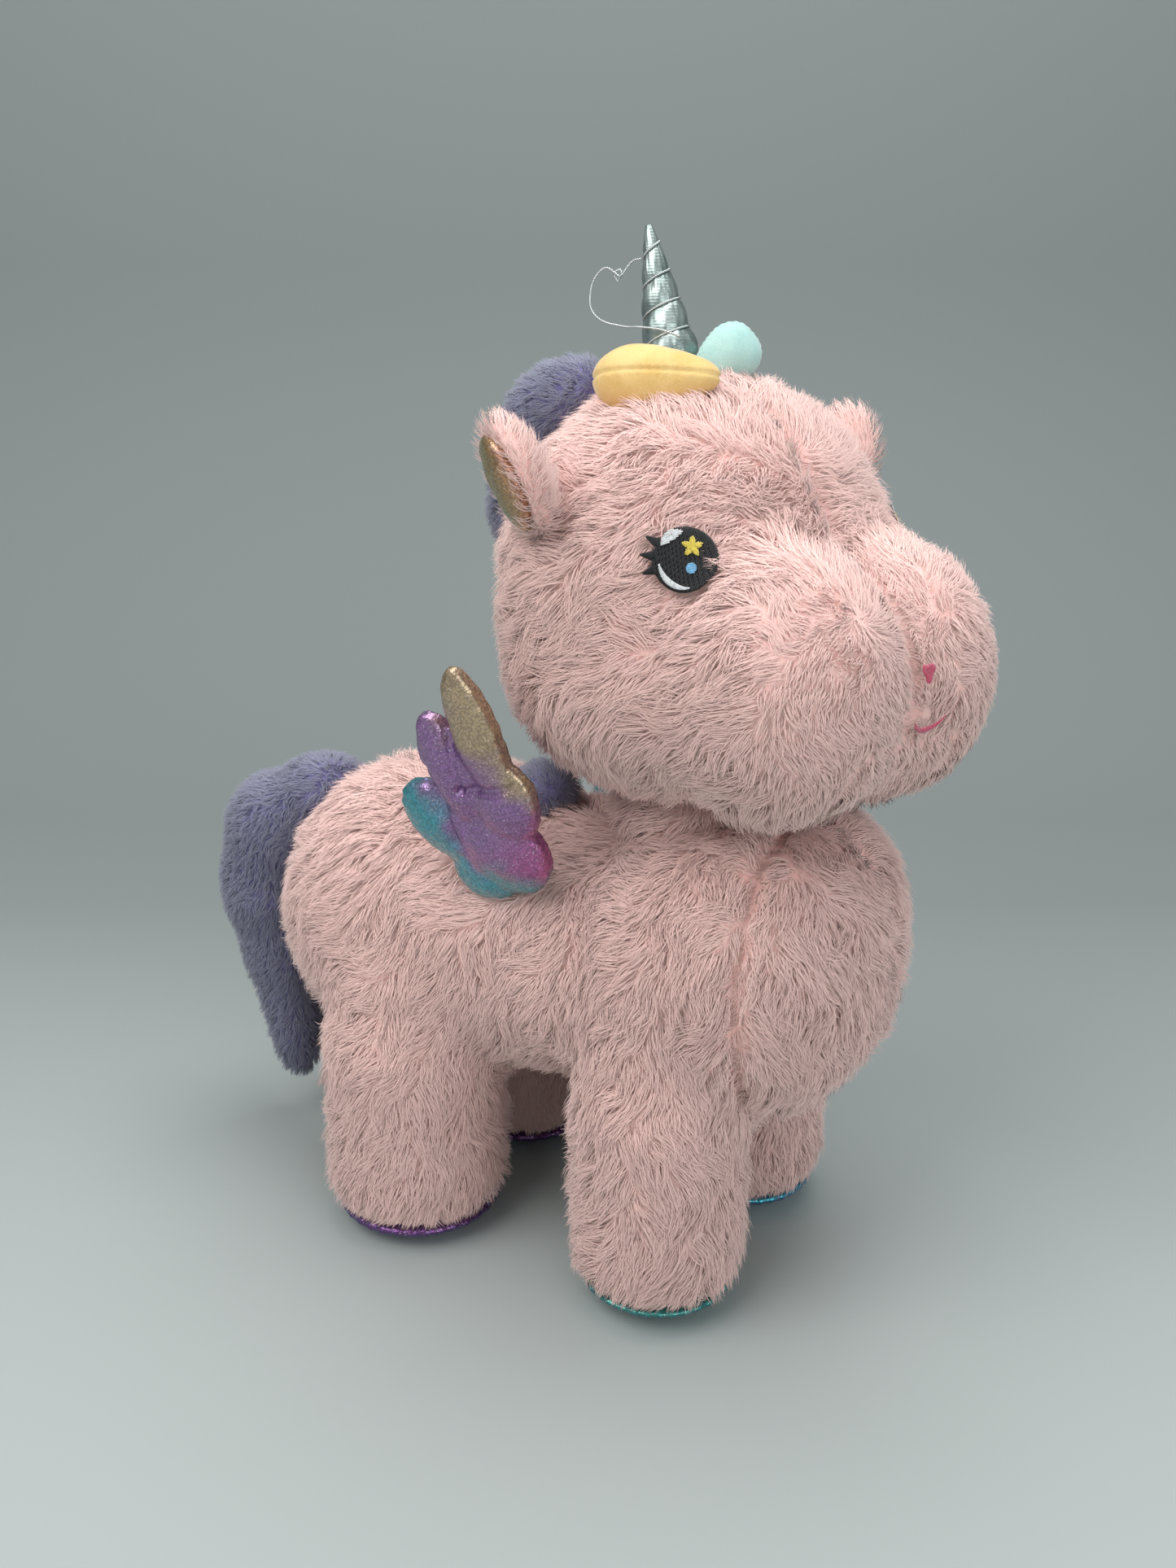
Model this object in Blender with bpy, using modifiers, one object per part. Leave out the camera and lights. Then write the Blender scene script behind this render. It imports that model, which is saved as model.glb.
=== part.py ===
"""Plush unicorn standing on four legs, built as the sewn toy is: furry panels, foil-knit pieces,
embroidery and the stuffing inside them, each as its own solid.

Metres, +Z up, +X towards the nose, +Y the unicorn's left. The origin is on the ground under the
middle of the toy's length. Every place below is counted from the middle of the four feet, in
millimetres, and moved ahead by FEET_AHEAD because the tail reaches farther back than the nose
reaches forward.
"""

import math

import bmesh
import bpy
import numpy as np
from mathutils import Matrix, Vector

MM = 0.001
FEET_AHEAD = 15.3 * MM       # middle of the feet, ahead of the middle of the toy's length
GAP = 0.3 * MM               # clearance between neighbouring pieces
FOLD_ROOM = 2.4 * MM         # between the head and the ears and petal that fold on it
FILL_GAP = 0.5 * MM          # between a cover and its stuffing
PLUSH = 2.4 * MM             # backing cloth and packed pile of the long-pile plush
KNIT = 1.2 * MM              # foil-printed knit, velour and the horn's metallic cloth

# Legs: each is a tube whose stuffing ends in a dome centred on the hip
HIP_Z = 63 * MM
HIP_Y = 33 * MM
FRONT_HIP_X = 42 * MM
REAR_HIP_X = -48 * MM
FRONT_LEG_R = 27 * MM
REAR_LEG_R = 30 * MM
LEG_STEPS = 16
LEG_SWING = math.radians(12)
SOCKET_ROOM = 0.6 * MM       # between a leg and the socket it swings in
FLARE_DEPTH = 42 * MM        # how far below the hip the socket keeps opening
FOOT_LIFT = 2 * MM           # foot's round edge above the ground, filled by the puffed sole
FOOT_ROUND = {"front": 14 * MM, "rear": 11 * MM}   # roundness of the foot's lower edge
FOOT_EDGE = 50               # degrees round that edge where the plush ends and the sole begins

# Torso and head: rounded bodies made of swells, each (centre, radii) in mm
TORSO_SWELLS = (
    ((49, 0, 97), (49, 51, 45)),        # chest
    ((55, 0, 117), (37, 42, 31)),       # crop, under the chin
    ((-8, 0, 97.5), (60, 47, 43)),      # barrel
    ((-58, 0, 97.5), (56, 52, 53)),     # rump
)
TORSO_CORE = (-8, 0, 97.5)
TORSO_BLEND = 7 * MM
CHEST_SEAM_X = 70 * MM
BELLY_SEAM_Z = 67 * MM
HEAD_SWELLS = (
    ((34.7, 0, 216.4), (51.8, 60.6, 56.8)),      # cranium
    ((86.6, -15, 194.8), (28.9, 32.4, 36)),      # right and left halves of the muzzle
    ((86.6, 15, 194.8), (28.9, 32.4, 36)),
    ((39.7, 0, 188.6), (54.9, 57.6, 34.7)),      # jowl
)
HEAD_CORE = (46, 0, 206)
HEAD_BLEND = 4 * MM
HEAD_TURN = -math.radians(20)      # the toy looks a little to its right
CHIN_TOP = 183 * MM                # the chin panel lies below the mouth
CHIN_BACK_X = 30 * MM
CHIN_HALF = (14 * MM, 22 * MM)     # its half width at the throat and at the mouth

# Neck: a ball of stuffing in a socket in the head and another in the torso
NECK_AT = (38, 0, 146.5)
NECK_R = 20 * MM
NECK_ROOM = 0.5 * MM

# Ears, wings, petals, mane, tail: places and sizes in mm, on the right side where there are two
EAR_AT = (34, -56.4, 232)
EAR_FACING = (-0.32, -0.95, 0.0)
EAR_ALONG = (-0.12, -0.39, 0.90)
EAR_SIZE = (34, 25, 14)      # height, width, depth
WING_AT = (-9, -40.6, 129.5)
WING_FACING = (0.0, -0.90, -0.40)
WING_ALONG = (0.04, -0.42, 0.91)
WING_LOBES = (                          # centre, radii, lean of the lobe in degrees
    ((5, 14, 0), (16, 17, 6.5)),
    ((9, 50, 0), (27, 7.0, 4.6), 98),
    ((-3.5, 38, 0), (22, 7.2, 5.0), 103),
    ((-12, 20, 0), (15, 13, 5.4), 140),
)
WING_CORE = (1, 21, 0)
WING_BLEND = 1.4 * MM
PETALS = (                              # name, place, out, tip direction, size, colour
    ("petal_yellow", (38.7, -21, 271), (0.25, -0.39, 0.9), (0.9, 0.44, 0.05), (38, 19, 14),
     (0.93, 0.68, 0.25)),
    ("petal_mint", (38.5, 10.5, 278), (0.73, -0.62, 0.29), (-0.43, -0.75, -0.51), (26, 17, 11),
     (0.62, 0.86, 0.80)),
)
LAVENDER = (0.42, 0.40, 0.62)
CREST_SWELLS = (((-4, 0, 265.5), (12, 12, 11)), ((-16, 2, 260), (12, 13, 13)),
                ((-22, 4, 246), (13, 13, 13)), ((-27, 6, 231), (12, 11, 12)))
CREST_CORE = (-17, 2, 253)
FALL_SWELLS = (((-25, 22, 206.5), (14, 11, 14)), ((-23, 24, 188.5), (14, 11, 14)),
               ((-17, 22, 172.5), (13, 11, 11)))
FALL_CORE = (-28, 24, 189.5)
NAPE_SWELLS = (((-15, -3, 145.5), (10, 12, 9)),)
NAPE_CORE = (-15, -3, 145.5)
TAIL_SWELLS = (((-104, -4, 131), (17, 15, 14)), ((-124, -5, 117), (20, 19, 18)),
               ((-130, -6, 94), (19, 18, 22)), ((-129, -5, 69), (13.5, 14, 18)),
               ((-127, -4, 46), (9.5, 10, 17)), ((-124.5, -4, 28), (7, 7.5, 11)))
TAIL_CORE = (-130, -5, 88)

# Horn and its thread
HORN_AT = (22, 0, 275)
HORN_LEAN = -math.radians(16)
HORN_LENGTH = 38.5
HORN_R = 8.6
HORN_PITCH = 8.2             # rise of the thread in one turn
THREAD_R = 0.35 * MM
LOOP_TOP = (8.7, -2.8, 303)
LOOP_FOOT = (14.0, -9.4, 285.2)
LOOP_BULGE = (-9.8, -7.1, 1.0)

# Embroidery: spots are (across, up) from the middle of the eye, mm
EYE_AT = (72, -42.3, 228.8)
EYE_R = 8.0
LASHES = (150, 174, 198)
LASH_REACH = 3.2
STAR_R = 3.1
STAR_SPOT = (1.6, 3.3)
DOT_SPOT = (1.6, -2.2)
NOSE_AT = (116, 0, 201.9)
NOSE_SIZE = 2.2
MOUTH_AT = (116, 0, 186.5)
CRIMSON = (0.72, 0.12, 0.22)

SEAM_REACH = 0.4             # size of the blocks that divide the panels


def place(x, y, z):
    """A point counted in millimetres from the middle of the feet."""
    return Vector((x * MM + FEET_AHEAD, y * MM, z * MM))


# ---------------------------------------------------------------- scene, materials, objects

def clear_scene():
    for old in list(bpy.data.objects):
        bpy.data.objects.remove(old)
    parts = bpy.data.collections.new("plush_unicorn")
    cutters = bpy.data.collections.new("cutters")
    bpy.context.scene.collection.children.link(parts)
    bpy.context.scene.collection.children.link(cutters)
    return parts, cutters


PARTS, CUTTERS = clear_scene()
PINK = (0.90, 0.66, 0.66)
STUFFING = (0.93, 0.93, 0.92)


def material(name, colour, roughness, metallic=0.0):
    made = bpy.data.materials.new(name)
    made.use_nodes = True
    shader = made.node_tree.nodes["Principled BSDF"]
    shader.inputs["Base Color"].default_value = (*colour, 1.0)
    shader.inputs["Roughness"].default_value = roughness
    shader.inputs["Metallic"].default_value = metallic
    return made


def add_part(name, mesh, colour, roughness=0.9, metallic=0.0, smooth=True):
    mesh.name = name
    if smooth:
        mesh.shade_smooth()
    part = bpy.data.objects.new(name, mesh)
    mesh.materials.append(material(name, colour, roughness, metallic))
    PARTS.objects.link(part)
    return part


def add_cutter(name, mesh):
    cutter = bpy.data.objects.new(name, mesh)
    cutter.hide_render = True
    cutter.display_type = "WIRE"
    CUTTERS.objects.link(cutter)
    return cutter


def boolean(part, cutter, operation):
    step = part.modifiers.new(operation.lower(), "BOOLEAN")
    step.operation = operation
    step.solver = "EXACT"
    step.object = cutter
    return part


def mesh_from(bm, name):
    mesh = bpy.data.meshes.new(name)
    bmesh.ops.recalc_face_normals(bm, faces=bm.faces[:])
    bm.to_mesh(mesh)
    bm.free()
    return mesh


def trim(part, *cutters):
    for cutter in cutters:
        boolean(part, cutter, "DIFFERENCE")


def mirrored(mesh, name):
    """The same piece on the other side."""
    twin = mesh.copy()
    twin.name = name
    twin.transform(Matrix.Scale(-1, 4, (0, 1, 0)))
    twin.flip_normals()
    return twin


def split_pair(panel):
    """Makes a finished right-hand panel into a right and a left one."""
    graph = bpy.context.evaluated_depsgraph_get()
    right = bpy.data.meshes.new_from_object(panel.evaluated_get(graph))
    name = panel.name
    bpy.data.objects.remove(panel)
    for side, mesh in (("right", right), ("left", mirrored(right, name))):
        mesh.materials.clear()
        add_part(f"{name}_{side}", mesh, PINK, 0.95)


def block(name, low, high):
    """A box cutter between two corners."""
    bm = bmesh.new()
    bmesh.ops.create_cube(bm, size=1.0)
    low, high = Vector(low), Vector(high)
    for v in bm.verts:
        v.co = [(a + b) / 2 + c * (b - a) for a, b, c in zip(low, high, v.co)]
    return add_cutter(name, mesh_from(bm, name))


def ball(name, centre, radius, segments=28, rings=16):
    bm = bmesh.new()
    bmesh.ops.create_uvsphere(bm, u_segments=segments, v_segments=rings, radius=radius,
                              matrix=Matrix.Translation(centre))
    return mesh_from(bm, name)


# ---------------------------------------------------------------- swollen shapes

def swell_field(points, swells, blend):
    """Below zero inside the swells melted together; points and swells in millimetres."""
    total = np.zeros(len(points))
    for swell in swells:
        centre, radii = swell[0], swell[1]
        offset = points - np.array(centre, float)
        if len(swell) > 2:
            turn = math.radians(swell[2])
            c, s = math.cos(turn), math.sin(turn)
            offset = offset @ np.array(((c, -s, 0), (s, c, 0), (0, 0, 1)))
        q = np.linalg.norm(offset / np.array(radii, float), axis=1)
        total += np.exp(-(q - 1.0) * min(radii) / (blend / MM))
    return -(blend / MM) * np.log(total)


def swell_reach(core, ways, swells, blend):
    """How far the skin is from the core along each way."""
    low = np.zeros(len(ways))
    high = np.full(len(ways), 200.0)
    for _ in range(30):
        middle = (low + high) / 2
        inside = swell_field(core + ways * middle[:, None], swells, blend) < 0
        low = np.where(inside, middle, low)
        high = np.where(inside, high, middle)
    return low


def swollen(name, swells, blend, core, segments, rings, stretch=(1, 1, 1), poles="Z"):
    """A closed skin over the swells, as a mesh in millimetres."""
    turn = Matrix.Rotation(math.pi / 2, 4, "Y") if poles == "X" else Matrix.Identity(4)
    bm = bmesh.new()
    bmesh.ops.create_uvsphere(bm, u_segments=segments, v_segments=rings, radius=1.0, matrix=turn)
    ways = np.array([v.co[:] for v in bm.verts]) * np.array(stretch, float)
    ways /= np.linalg.norm(ways, axis=1)[:, None]
    core = np.array(core, float)
    skin = core + ways * swell_reach(core, ways, swells, blend)[:, None]
    for v, spot in zip(bm.verts, skin):
        v.co = spot
    bmesh.ops.triangulate(bm, faces=bm.faces[:])
    return mesh_from(bm, name)


def settle(mesh, where=None):
    """Turns a mesh in millimetres into metres at its place on the toy."""
    mesh.transform(Matrix.Scale(MM, 4))
    mesh.transform(where if where is not None else Matrix.Translation((FEET_AHEAD, 0, 0)))
    return mesh


def shrunk(mesh, depth, name):
    """The same skin moved inwards by depth."""
    bm = bmesh.new()
    bm.from_mesh(mesh)
    bm.normal_update()
    moves = [v.normal * depth for v in bm.verts]
    for v, move in zip(bm.verts, moves):
        v.co -= move
    return mesh_from(bm, name)


def shell(mesh, depth, name):
    """The skin with a second skin inside it, which bounds the room for the stuffing."""
    inner = shrunk(mesh, depth, name + "_inside")
    bm = bmesh.new()
    bm.from_mesh(inner)
    bmesh.ops.reverse_faces(bm, faces=bm.faces[:])
    bm.from_mesh(mesh)
    made = bpy.data.meshes.new(name)
    bm.to_mesh(made)
    bm.free()
    return made


# ---------------------------------------------------------------- lathe work for the legs

def lathe(name, profile):
    """A round piece from (radius, height) points that run down its outer side."""
    mesh = bpy.data.meshes.new(name)
    bm = bmesh.new()
    spots = [bm.verts.new((r, 0, z)) for r, z in profile]
    for a, b in zip(spots, spots[1:]):
        bm.edges.new((a, b))
    bm.to_mesh(mesh)
    bm.free()
    return mesh


def add_lathe(name, profile, centre, colour, roughness, metallic=0.0, steps=LEG_STEPS):
    part = add_part(name, lathe(name, profile), colour, roughness, metallic, smooth=False)
    part.location = centre
    turn = part.modifiers.new("round", "SCREW")
    turn.axis = "Z"
    turn.angle = 2 * math.pi
    turn.steps = turn.render_steps = steps
    turn.use_merge_vertices = True
    turn.merge_threshold = 1e-5
    turn.use_smooth_shade = True
    return part


def arc(centre_r, centre_z, radius, start, end, count):
    """Points of an arc in (radius, height), angles in degrees from straight out."""
    out = []
    for i in range(count + 1):
        a = math.radians(start + (end - start) * i / count)
        out.append((centre_r + radius * math.cos(a), centre_z + radius * math.sin(a)))
    return out


def on_axis(profile):
    """The same profile with its ends exactly on the axis where they reach it."""
    return [(0 if r < 1e-6 else r, z) for r, z in profile]


def build_leg(side, row, hip_x, radius, sole_colour):
    """One leg: a plush sleeve domed at the hip, its stuffing and a foil-knit sole."""
    name = f"{row}_{side}"
    sign = -1 if side == "right" else 1
    foot = Vector((hip_x + FEET_AHEAD, sign * HIP_Y, 0))
    foot_round = FOOT_ROUND[row]
    bend = (radius - foot_round, foot_round + FOOT_LIFT)
    inside = radius - PLUSH
    outer = arc(0, HIP_Z, radius, 90, 0, 5) + arc(*bend, foot_round, 0, -FOOT_EDGE, 4)
    inner = arc(*bend, foot_round - PLUSH, -FOOT_EDGE, 0, 3) + arc(0, HIP_Z, inside, 0, 90, 4)
    add_lathe(f"leg_{name}_skin", on_axis(outer + inner), foot, PINK, 0.95)

    edge_r, edge_z = inner[0]
    sole_top = edge_z - 2 * MM
    sole_r = edge_r - FILL_GAP
    under = arc(*bend, foot_round, -FOOT_EDGE - 14, -78, 2)
    sole = ([(0, sole_top), (sole_r * 0.9, sole_top), (sole_r, sole_top - MM)]
            + [(r, z - FILL_GAP) for r, z in under] + [(bend[0] - FILL_GAP, 0), (0, 0)])
    add_lathe(f"sole_{name}", sole, foot, sole_colour, 0.3, 0.6)

    room = foot_round - PLUSH - GAP
    side_wall = arc(0, HIP_Z, inside - GAP, 90, 0, 4) + arc(*bend, room, 0, 10 - FOOT_EDGE, 2)
    floor_r = side_wall[-1][0] - 3 * MM
    core = side_wall + [(floor_r, sole_top + FILL_GAP), (0, sole_top + FILL_GAP)]
    add_lathe(f"leg_{name}_stuffing", on_axis(core), foot, STUFFING, 0.9)


def hip_sockets():
    """The hollows the legs swing in: half a ball over each hip and a flare below it."""
    made = {}
    for row, hip_x, radius in (("front", FRONT_HIP_X, FRONT_LEG_R), ("rear", REAR_HIP_X, REAR_LEG_R)):
        for side, sign in (("right", -1), ("left", 1)):
            centre = Vector((hip_x + FEET_AHEAD, sign * HIP_Y, HIP_Z))
            hollow = socket(centre, radius + SOCKET_ROOM)
            made[row, side] = add_cutter(f"socket_{row}_{side}", hollow)
    return made


def socket(centre, room):
    bm = bmesh.new()
    bmesh.ops.create_uvsphere(bm, u_segments=LEG_STEPS, v_segments=12, radius=room)
    for v in bm.verts:
        if v.co.z < -1e-6:
            down = -v.co.z / room * FLARE_DEPTH
            flat = math.hypot(v.co.x, v.co.y)
            if flat > 1e-6:
                wide = (room + down * math.tan(LEG_SWING)) / flat
                v.co = (v.co.x * wide, v.co.y * room / flat, -down)
            else:
                v.co.z = -FLARE_DEPTH * 1.1
    bmesh.ops.translate(bm, verts=bm.verts[:], vec=centre)
    return mesh_from(bm, "socket")


# ---------------------------------------------------------------- torso

def build_torso(sockets, neck_socket):
    skin = settle(swollen("torso", TORSO_SWELLS, TORSO_BLEND, TORSO_CORE, 20, 12,
                          (110, 50, 50), poles="X"))
    wall = shell(skin, PLUSH, "torso_wall")
    far = SEAM_REACH
    half = GAP / 2
    seam_x = CHEST_SEAM_X + FEET_AHEAD
    every = list(sockets.values())
    right = every
    regions = (
        ("torso_side", (-far, -far, BELLY_SEAM_Z + half), (seam_x - half, -half, far), right),
        ("chest", (seam_x + half, -far, -far), (far, -half, far), right),
        ("belly", (-far, -far, -far), (seam_x - half, far, BELLY_SEAM_Z - half), every),
    )
    for name, low, high, hollows in regions:
        panel = add_part(name, wall.copy(), PINK, 0.95)
        trim(panel, *hollows, neck_socket)
        boolean(panel, block(name + "_region", low, high), "INTERSECT")
        if name != "belly":
            split_pair(panel)
    core = add_part("torso_stuffing", shrunk(skin, PLUSH + FILL_GAP, "core"), STUFFING)
    trim(core, *every, neck_socket)
    return add_cutter("torso_outside", shrunk(skin, -GAP, "torso_outside"))


# ---------------------------------------------------------------- head

def chin_block(name, spread):
    """The chin panel: a strip under the mouth that narrows towards the throat."""
    back = CHIN_BACK_X + FEET_AHEAD - spread
    front = 0.16
    low = CHIN_TOP - 0.1
    bm = bmesh.new()
    bmesh.ops.create_cube(bm, size=2.0)
    for v in bm.verts:
        at_front = v.co.x > 0
        half = CHIN_HALF[1] if at_front else CHIN_HALF[0]
        v.co = (front if at_front else back, v.co.y * (half + spread),
                CHIN_TOP + spread if v.co.z > 0 else low)
    return add_cutter(name, mesh_from(bm, name))


def build_head(neck_socket):
    skin = settle(swollen("head", HEAD_SWELLS, HEAD_BLEND, HEAD_CORE, 22, 14, (70, 60, 62)))
    wall = shell(skin, PLUSH, "head_wall")
    wide = chin_block("chin_and_seam", GAP)
    panel = add_part("head_side", wall.copy(), PINK, 0.95)
    far = SEAM_REACH
    boolean(panel, block("head_half", (-far, -far, -far), (far, -GAP / 2, far)), "INTERSECT")
    trim(panel, wide, neck_socket)
    split_pair(panel)
    chin = add_part("head_chin", wall.copy(), PINK, 0.95)
    boolean(chin, chin_block("chin_region", 0.0), "INTERSECT")
    boolean(chin, neck_socket, "DIFFERENCE")
    core = add_part("head_stuffing", shrunk(skin, PLUSH + FILL_GAP, "core"), STUFFING)
    boolean(core, neck_socket, "DIFFERENCE")
    folds = add_cutter("head_fold_room", shrunk(skin, -FOLD_ROOM, "head_fold_room"))
    return add_cutter("head_outside", shrunk(skin, -GAP, "head_outside")), folds


HEAD_PIECES = ("head_", "chin_", "ear_", "eye_", "nose", "mouth", "petal_", "horn_")


def turn_head():
    """Turns the head, and all that is sewn to it, about the upright line through the neck."""
    neck = place(*NECK_AT)
    turn = Matrix.Translation(neck) @ Matrix.Rotation(HEAD_TURN, 4, "Z") @ Matrix.Translation(-neck)
    for collection in (PARTS, CUTTERS):
        for piece in collection.objects:
            if piece.name.startswith(HEAD_PIECES):
                piece.matrix_world = turn @ piece.matrix_world


def build_neck():
    centre = place(*NECK_AT)
    add_part("neck_stuffing", ball("neck", centre, NECK_R, 16, 10), STUFFING)
    return add_cutter("neck_socket", ball("neck_socket", centre, NECK_R + NECK_ROOM, 16, 10))


# ---------------------------------------------------------------- pieces sewn to head and torso

def facing(at, out, along):
    """The place and turn of a piece: its Y lies along, its Z as near to out as that allows."""
    y = Vector(along).normalized()
    x = y.cross(Vector(out)).normalized()
    z = x.cross(y)
    turn = Matrix((x, y, z)).transposed().to_4x4()
    return Matrix.Translation(place(*at)) @ turn


def add_pair(name, mesh, colour, roughness=0.9, metallic=0.0, cutters=()):
    for side in ("right", "left"):
        own = mesh if side == "right" else mirrored(mesh, name)
        part = add_part(f"{name}_{side}", own, colour, roughness, metallic)
        for operation, cutter in cutters:
            other = cutter if side == "right" else twin_cutter(cutter)
            boolean(part, other, operation)


def twin_cutter(cutter):
    name = cutter.name + "_twin"
    found = CUTTERS.objects.get(name)
    return found or add_cutter(name, mirrored(cutter.data, name))


def build_ears(fold_room):
    """A plush ear cupped round a foil-knit lining."""
    where = facing(EAR_AT, EAR_FACING, EAR_ALONG)
    height, width, depth = EAR_SIZE
    cup = settle(swollen("ear", (((0, height * 0.47, 0), (width / 2, height / 2, depth / 2)),),
                         MM, (0, height * 0.47, 0), 14, 8), where)
    dish_spot = (0, height * 0.49, depth * 0.5)
    dish = settle(swollen("dish", ((dish_spot, (width * 0.36, height * 0.38, depth * 0.42)),),
                          MM, dish_spot, 12, 6), where)
    lens = settle(swollen("lens", ((dish_spot, (width * 0.36 - 0.4, height * 0.38 - 0.4,
                                                depth * 0.42 - 0.4)),), MM, dish_spot, 12, 6), where)
    flush = block_in("ear_front", where, (-30, -30, depth * 0.47), (30, 50, 30))
    dish_cutter = add_cutter("ear_dish", dish)
    add_pair("ear_outer", cup, PINK, 0.95, 0.0,
             (("DIFFERENCE", dish_cutter), ("DIFFERENCE", fold_room)))
    add_pair("ear_lining", lens, (0.62, 0.42, 0.30), 0.35, 0.6,
             (("DIFFERENCE", flush), ("DIFFERENCE", fold_room)))


def block_in(name, where, low, high):
    """A box cutter in a piece's own millimetres."""
    bm = bmesh.new()
    bmesh.ops.create_cube(bm, size=1.0)
    for v in bm.verts:
        v.co = [(a + b) / 2 + c * (b - a) for a, b, c in zip(low, high, v.co)]
    return add_cutter(name, settle(mesh_from(bm, name), where))


def build_wings():
    """Two stuffed wings of three lobes, each with an outer and an inner face."""
    where = facing(WING_AT, WING_FACING, WING_ALONG)
    skin = settle(swollen("wing", WING_LOBES, WING_BLEND, WING_CORE, 34, 6, (0.7, 1, 0.3)), where)
    wall = shell(skin, KNIT, "wing_wall")
    outer = block_in("wing_outer_region", where, (-90, -90, GAP / MM / 2), (90, 90, 60))
    inner = block_in("wing_inner_region", where, (-90, -90, -60), (90, 90, -GAP / MM / 2))
    add_pair("wing_outer_face", wall.copy(), (0.45, 0.32, 0.60), 0.35, 0.6, (("INTERSECT", outer),))
    add_pair("wing_inner_face", wall.copy(), (0.45, 0.32, 0.60), 0.35, 0.6, (("INTERSECT", inner),))
    add_pair("wing_stuffing", shrunk(skin, KNIT + 2 * FILL_GAP, "wing_core"), STUFFING)


def build_pocket(name, swells, core, blend, where, colour, thick, outside, mesh_size, roughness):
    """A stuffed piece whose cover is open where it is sewn on, against the body."""
    skin = settle(swollen(name, swells, blend, core, *mesh_size), where)
    cover = add_part(name + "_cover", shell(skin, thick, name + "_wall"), colour, roughness)
    stuffing = add_part(name + "_stuffing", shrunk(skin, thick + FILL_GAP, name + "_core"), STUFFING)
    trim(cover, outside)
    trim(stuffing, outside)


def build_petals(head_outside, fold_room):
    """A yellow and a mint velour petal lying round the foot of the horn."""
    for name, at, out, along, size, colour in PETALS:
        length, width, thick = size
        swells = (((0, -length * 0.17, 0), (width / 2, length * 0.33, thick / 2)),
                  ((0, length * 0.17, 0), (width * 0.31, length * 0.33, thick * 0.36)))
        outside = fold_room if name == "petal_mint" else head_outside
        build_pocket(name, swells, (0, 0, 0), 2 * MM, facing(at, out, along), colour, KNIT,
                     outside, (14, 8), 0.85)


def build_mane(head_outside, torso_outside):
    """The plush mane: a crest behind the horn, a fall down the neck's left side, a nape tuft."""
    for name, swells, core, cutters in (
            ("mane_crest", CREST_SWELLS, CREST_CORE, (head_outside,)),
            ("mane_fall", FALL_SWELLS, FALL_CORE, (head_outside,)),
            ("mane_nape_tuft", NAPE_SWELLS, NAPE_CORE, (torso_outside, head_outside))):
        skin = settle(swollen(name, swells, 3 * MM, core, 14, 8))
        trim(add_part(name, skin, LAVENDER, 0.95), *cutters)


def build_tail(torso_outside):
    build_pocket("tail", TAIL_SWELLS, TAIL_CORE, 4 * MM, Matrix.Translation((FEET_AHEAD, 0, 0)),
                 LAVENDER, PLUSH, torso_outside, (14, 12, (0.5, 0.5, 1)), 0.95)


def horn_ring(z, wave):
    """The horn's outer radius at a height, with a puff between each turn of the thread."""
    taper = HORN_R * (1 - z / HORN_LENGTH) ** 0.85 + 0.9 * (z / HORN_LENGTH)
    puff = abs(math.sin(math.pi * wave)) ** 0.6
    return taper * (0.86 + 0.14 * puff)


def build_horn():
    """Metallic-cloth cone, its stuffing, the thread wound round it and a loose loop of thread."""
    where = Matrix.Translation(place(*HORN_AT)) @ Matrix.Rotation(HORN_LEAN, 4, "Y")
    around, levels = 14, 20
    bm = bmesh.new()
    rings = []
    for k in range(levels + 1):
        z = HORN_LENGTH * k / levels
        ring = []
        for i in range(around):
            angle = 2 * math.pi * i / around
            r = horn_ring(z, z / HORN_PITCH - angle / (2 * math.pi))
            ring.append(bm.verts.new((r * MM * math.cos(angle), r * MM * math.sin(angle), z * MM)))
        rings.append(ring)
    hollow = HORN_LENGTH * 0.8
    inner_levels = 3
    for k in range(inner_levels + 1):
        z = hollow * (1 - k / inner_levels)
        r = (HORN_R * 0.86 - KNIT / MM) * (1 - z / (hollow * 1.06)) ** 0.85
        ring = []
        for i in range(around):
            angle = 2 * math.pi * i / around
            ring.append(bm.verts.new((r * MM * math.cos(angle), r * MM * math.sin(angle), z * MM)))
        if k == 0:
            bm.faces.new(ring)
        else:
            bridge(bm, before, ring)
        before = ring
    bridge(bm, before, rings[0])
    for a, b in zip(rings, rings[1:]):
        bridge(bm, a, b)
    bm.faces.new(rings[-1])
    cover = add_part("horn_cover", mesh_from(bm, "horn_cover"), (0.55, 0.60, 0.61), 0.25, 0.9)
    cover.data.transform(where)

    bm = bmesh.new()
    bmesh.ops.create_cone(bm, cap_ends=True, segments=around,
                          radius1=(HORN_R * 0.86 - KNIT / MM) * MM * 0.86 - GAP, radius2=0.3 * MM,
                          depth=hollow * 0.9 * MM,
                          matrix=Matrix.Translation((0, 0, hollow * 0.45 * MM + 0.2 * MM)))
    core = add_part("horn_stuffing", mesh_from(bm, "horn_stuffing"), STUFFING, smooth=False)
    core.data.transform(where)

    turns = HORN_LENGTH * 0.8 / HORN_PITCH
    count = int(turns * 12)
    path = []
    for i in range(count + 1):
        z = HORN_LENGTH * (0.07 + 0.8 * i / count)
        angle = 2 * math.pi * z / HORN_PITCH
        r = horn_ring(z, 0.0) + THREAD_R / MM + 0.85
        path.append(where @ Vector((r * MM * math.cos(angle), r * MM * math.sin(angle), z * MM)))
    add_thread("horn_winding", path)

    start, end = place(*LOOP_TOP), place(*LOOP_FOOT)
    path = []
    count = 26
    for i in range(count + 1):
        t = i / count
        bulge = math.sin(math.pi * t) ** 0.8
        kink = 2.2 * MM * math.exp(-((t - 0.24) / 0.07) ** 2)
        spot = start.lerp(end, t) + Vector(LOOP_BULGE) * MM * bulge
        path.append(spot + Vector((0.4, 0, 1)) * kink)
    add_thread("horn_loose_loop", path)


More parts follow.
